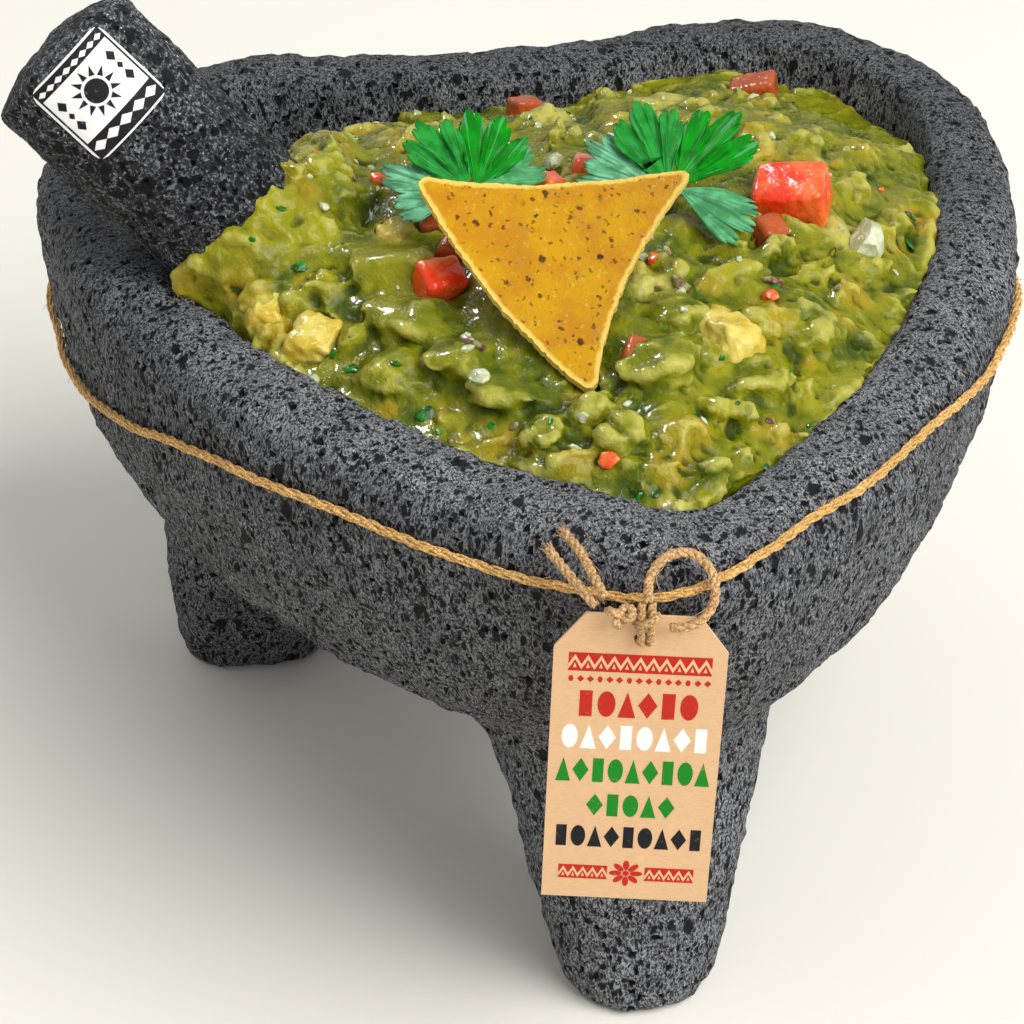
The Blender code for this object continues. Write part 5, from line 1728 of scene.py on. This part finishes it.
class MORTAR_OT_tag(bpy.types.Operator):
    """Finishes the kraft tag and prints its plain bands, rows of shapes and flower"""
    bl_idname = "mortar.tag"
    bl_label = "Hang tag"

    def execute(self, context):
        values = setting("tag")
        finish, bench, shader = material("kraft_card", Roughness=0.85, Specular_IOR_Level=0.2)
        place = bench.place()
        fibres = bench.noise(bench.moved(place, (1.0, 1.0, 3.0)), 0.0011, 4.0, 0.6).outputs[0]
        drift = bench.noise(place, 0.012, 2.0).outputs[0]
        base = bench.mix(bench.window(fibres, 0.30, 0.70, 0.0, 0.6),
                         [c * 0.86 for c in values.kraft], values.kraft)
        base = bench.mix(bench.window(drift, 0.35, 0.65, 0.0, 0.25), base,
                         [c * 0.84 for c in values.kraft])
        bench.feed(shader["Base Color"], base)
        bench.feed(shader["Normal"], bump(bench, fibres, 0.0001, 0.5))
        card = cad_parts["hang_tag"]
        card.data.materials.clear()
        card.data.materials.append(finish)
        inks = {name: bmesh.new() for name in ("red", "green", "white", "black", "pale")}
        relief = values.relief
        zigzag_band(inks["red"], inks["pale"], -5.8, 4.2, -13.2, 13.2, 11, relief)
        for i in range(15):
            x = -12.6 + 1.8 * i
            sides = 4 if i % 3 else 6
            patch(inks["red"], regular(x, -9.7, 1.35 if i % 3 else 1.0, 1.5, sides), relief,
                  TAG_FACE)
        for row, (y, width, high, count, ink) in enumerate(PRINT_ROWS):
            pitch = width / count
            for i in range(count):
                kind = (i * 7 + row * 3) % 4
                narrow = 0.62 if kind == 0 else 0.86
                patch(inks[ink], row_shape(kind, -width / 2 + pitch * (i + 0.5), y,
                                           pitch * narrow, high * 0.86), relief, TAG_FACE)
        for left, right in ((-13.0, -3.6), (3.6, 13.0)):
            zigzag_band(inks["red"], inks["pale"], -56.4, 3.4, left, right, 5, relief)
        for i in range(8):
            angle = math.tau * i / 8
            petal = [(2.0 * math.cos(angle) + 1.25 * math.cos(a) * math.cos(angle)
                      - 0.62 * math.sin(a) * math.sin(angle),
                      2.0 * math.sin(angle) + 1.25 * math.cos(a) * math.sin(angle)
                      + 0.62 * math.sin(a) * math.cos(angle) - 56.4)
                     for a in np.linspace(0.0, math.tau, 11)[:-1]]
            patch(inks["red"], petal, relief, TAG_FACE)
        patch(inks["red"], regular(0.0, -56.4, 1.3, 1.3, 12), relief, TAG_FACE)
        tints = {"red": values.red, "green": values.green, "white": values.white,
                 "black": values.black, "pale": [c * 0.98 for c in values.kraft]}
        for name, bm in inks.items():
            add_print("tag_print_" + name, bm, tints[name], tag_matrix(), values.kraft)
        return {"FINISHED"}


def ring_shape(bm, outer, inner, relief):
    """A flat printed line between two outlines with as many corners."""
    for i in range(len(outer)):
        j = (i + 1) % len(outer)
        patch(bm, [outer[i], outer[j], inner[j], inner[i]], relief, 0.0)


class MORTAR_OT_sticker(bpy.types.Operator):
    """Finishes the pestle's paper label and prints a plain sun between two bands on it"""
    bl_idname = "mortar.sticker"
    bl_label = "Pestle label"

    def execute(self, context):
        values = setting("tag")
        finish, bench, shader = material("label_paper", Roughness=0.35)
        fibres = bench.noise(bench.place(), 0.0016, 3.0).outputs[0]
        bench.feed(shader["Base Color"], bench.mix(fibres, values.white,
                                                   [c * 0.93 for c in values.white]))
        bench.feed(shader["Normal"], bump(bench, fibres, 0.00005, 0.4))
        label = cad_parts["pestle_sticker"]
        label.data.materials.clear()
        label.data.materials.append(finish)
        bm = bmesh.new()
        relief = values.relief
        half_x, half_y = LABEL_ACROSS / 2, LABEL_ALONG / 2
        box = ((-1, -1), (1, -1), (1, 1), (-1, 1))
        ring_shape(bm, [(x * (half_x - 0.45), y * (half_y - 0.45)) for x, y in box],
                   [(x * (half_x - 0.85), y * (half_y - 0.85)) for x, y in box], relief)
        for low, top, teeth in ((-half_y + 0.8, -half_y + 4.6, 5), (half_y - 3.0, half_y - 0.8, 8)):
            self.notched_band(bm, low, top, teeth, half_x - 0.85, relief)
        middle = 0.9
        patch(bm, regular(0.0, middle, 5.0, 5.0, 20), relief, 0.0)
        for i in range(12):
            angle = math.tau * i / 12
            ray = [(3.1, -0.62), (5.2, 0.0), (3.1, 0.62)]
            patch(bm, [(x * math.cos(angle) - y * math.sin(angle),
                        x * math.sin(angle) + y * math.cos(angle) + middle) for x, y in ray],
                  relief, 0.0)
        for side in (-1, 1):
            for y in (middle - 2.6, middle + 2.6):
                patch(bm, regular(side * 7.2, y, 2.2, 2.6, 4), relief, 0.0)
            patch(bm, regular(side * 7.2, middle, 1.4, 1.6, 4), relief, 0.0)
        self.wrap(bm, label)
        add_print("label_print", bm, values.black, pestle_matrix(), values.white)
        return {"FINISHED"}

    def notched_band(self, bm, low, top, teeth, half, relief):
        """A band made of dark triangles that leave a row of pale diamonds between them."""
        step = 2 * half / teeth
        middle, gap = (low + top) / 2, (top - low) * 0.30
        for i in range(teeth):
            x = -half + step * i
            patch(bm, [(x, low), (x + step, low), (x + step, middle), (x + step / 2, middle - gap),
                       (x, middle)], relief, 0.0)
            patch(bm, [(x, top), (x, middle), (x + step / 2, middle + gap), (x + step, middle),
                       (x + step, top)], relief, 0.0)

    def wrap(self, bm, label):
        """Bends the flat print round the pestle, just over the label's own face."""
        for x in np.arange(-LABEL_ACROSS / 2, LABEL_ACROSS / 2, 1.0):
            bmesh.ops.bisect_plane(bm, geom=bm.verts[:] + bm.edges[:] + bm.faces[:],
                                   plane_co=(float(x) * MM, 0.0, 0.0), plane_no=(1.0, 0.0, 0.0),
                                   dist=0.00001)
        back = pestle_matrix().inverted()
        radius = max((back @ vert.co).to_2d().length for vert in label.data.vertices)
        for vert in bm.verts:
            angle = vert.co.x / radius
            out = radius + vert.co.z
            vert.co = Vector((out * math.cos(angle), out * math.sin(angle),
                              vert.co.y - LABEL_FROM_TOP))


# ---------------------------------------------------------------- panel, registration, run
OPERATORS = (MORTAR_OT_stage, MORTAR_OT_string, MORTAR_OT_bowl, MORTAR_OT_twine,
             MORTAR_OT_pestle, MORTAR_OT_sticker, MORTAR_OT_guacamole, MORTAR_OT_bits,
             MORTAR_OT_tomato, MORTAR_OT_avocado, MORTAR_OT_chip, MORTAR_OT_coriander, MORTAR_OT_tag)


class MORTAR_PT_pieces(bpy.types.Panel):
    """Lists what the add-on makes"""
    bl_idname = "MORTAR_PT_pieces"
    bl_label = "Guacamole in a Stone Mortar"
    bl_space_type = "VIEW_3D"
    bl_region_type = "UI"
    bl_category = "Mortar"

    def draw(self, context):
        for operator in OPERATORS:
            self.layout.operator(operator.bl_idname)
        for group, kind in SETTINGS:
            box = self.layout.box()
            box.label(text=group.capitalize())
            for name in kind.__annotations__:
                box.prop(setting(group), name)


def register():
    for group, kind in SETTINGS:
        bpy.utils.register_class(kind)
        setattr(bpy.types.Scene, "mortar_" + group, PointerProperty(type=kind))
    for operator in OPERATORS:
        bpy.utils.register_class(operator)
    bpy.utils.register_class(MORTAR_PT_pieces)


def unregister():
    bpy.utils.unregister_class(MORTAR_PT_pieces)
    for operator in reversed(OPERATORS):
        bpy.utils.unregister_class(operator)
    for group, kind in reversed(SETTINGS):
        delattr(bpy.types.Scene, "mortar_" + group)
        bpy.utils.unregister_class(kind)


def main():
    register()
    for operator in OPERATORS:
        package, name = operator.bl_idname.split(".")
        getattr(getattr(bpy.ops, package), name)()


if __name__ == "__main__":
    main()
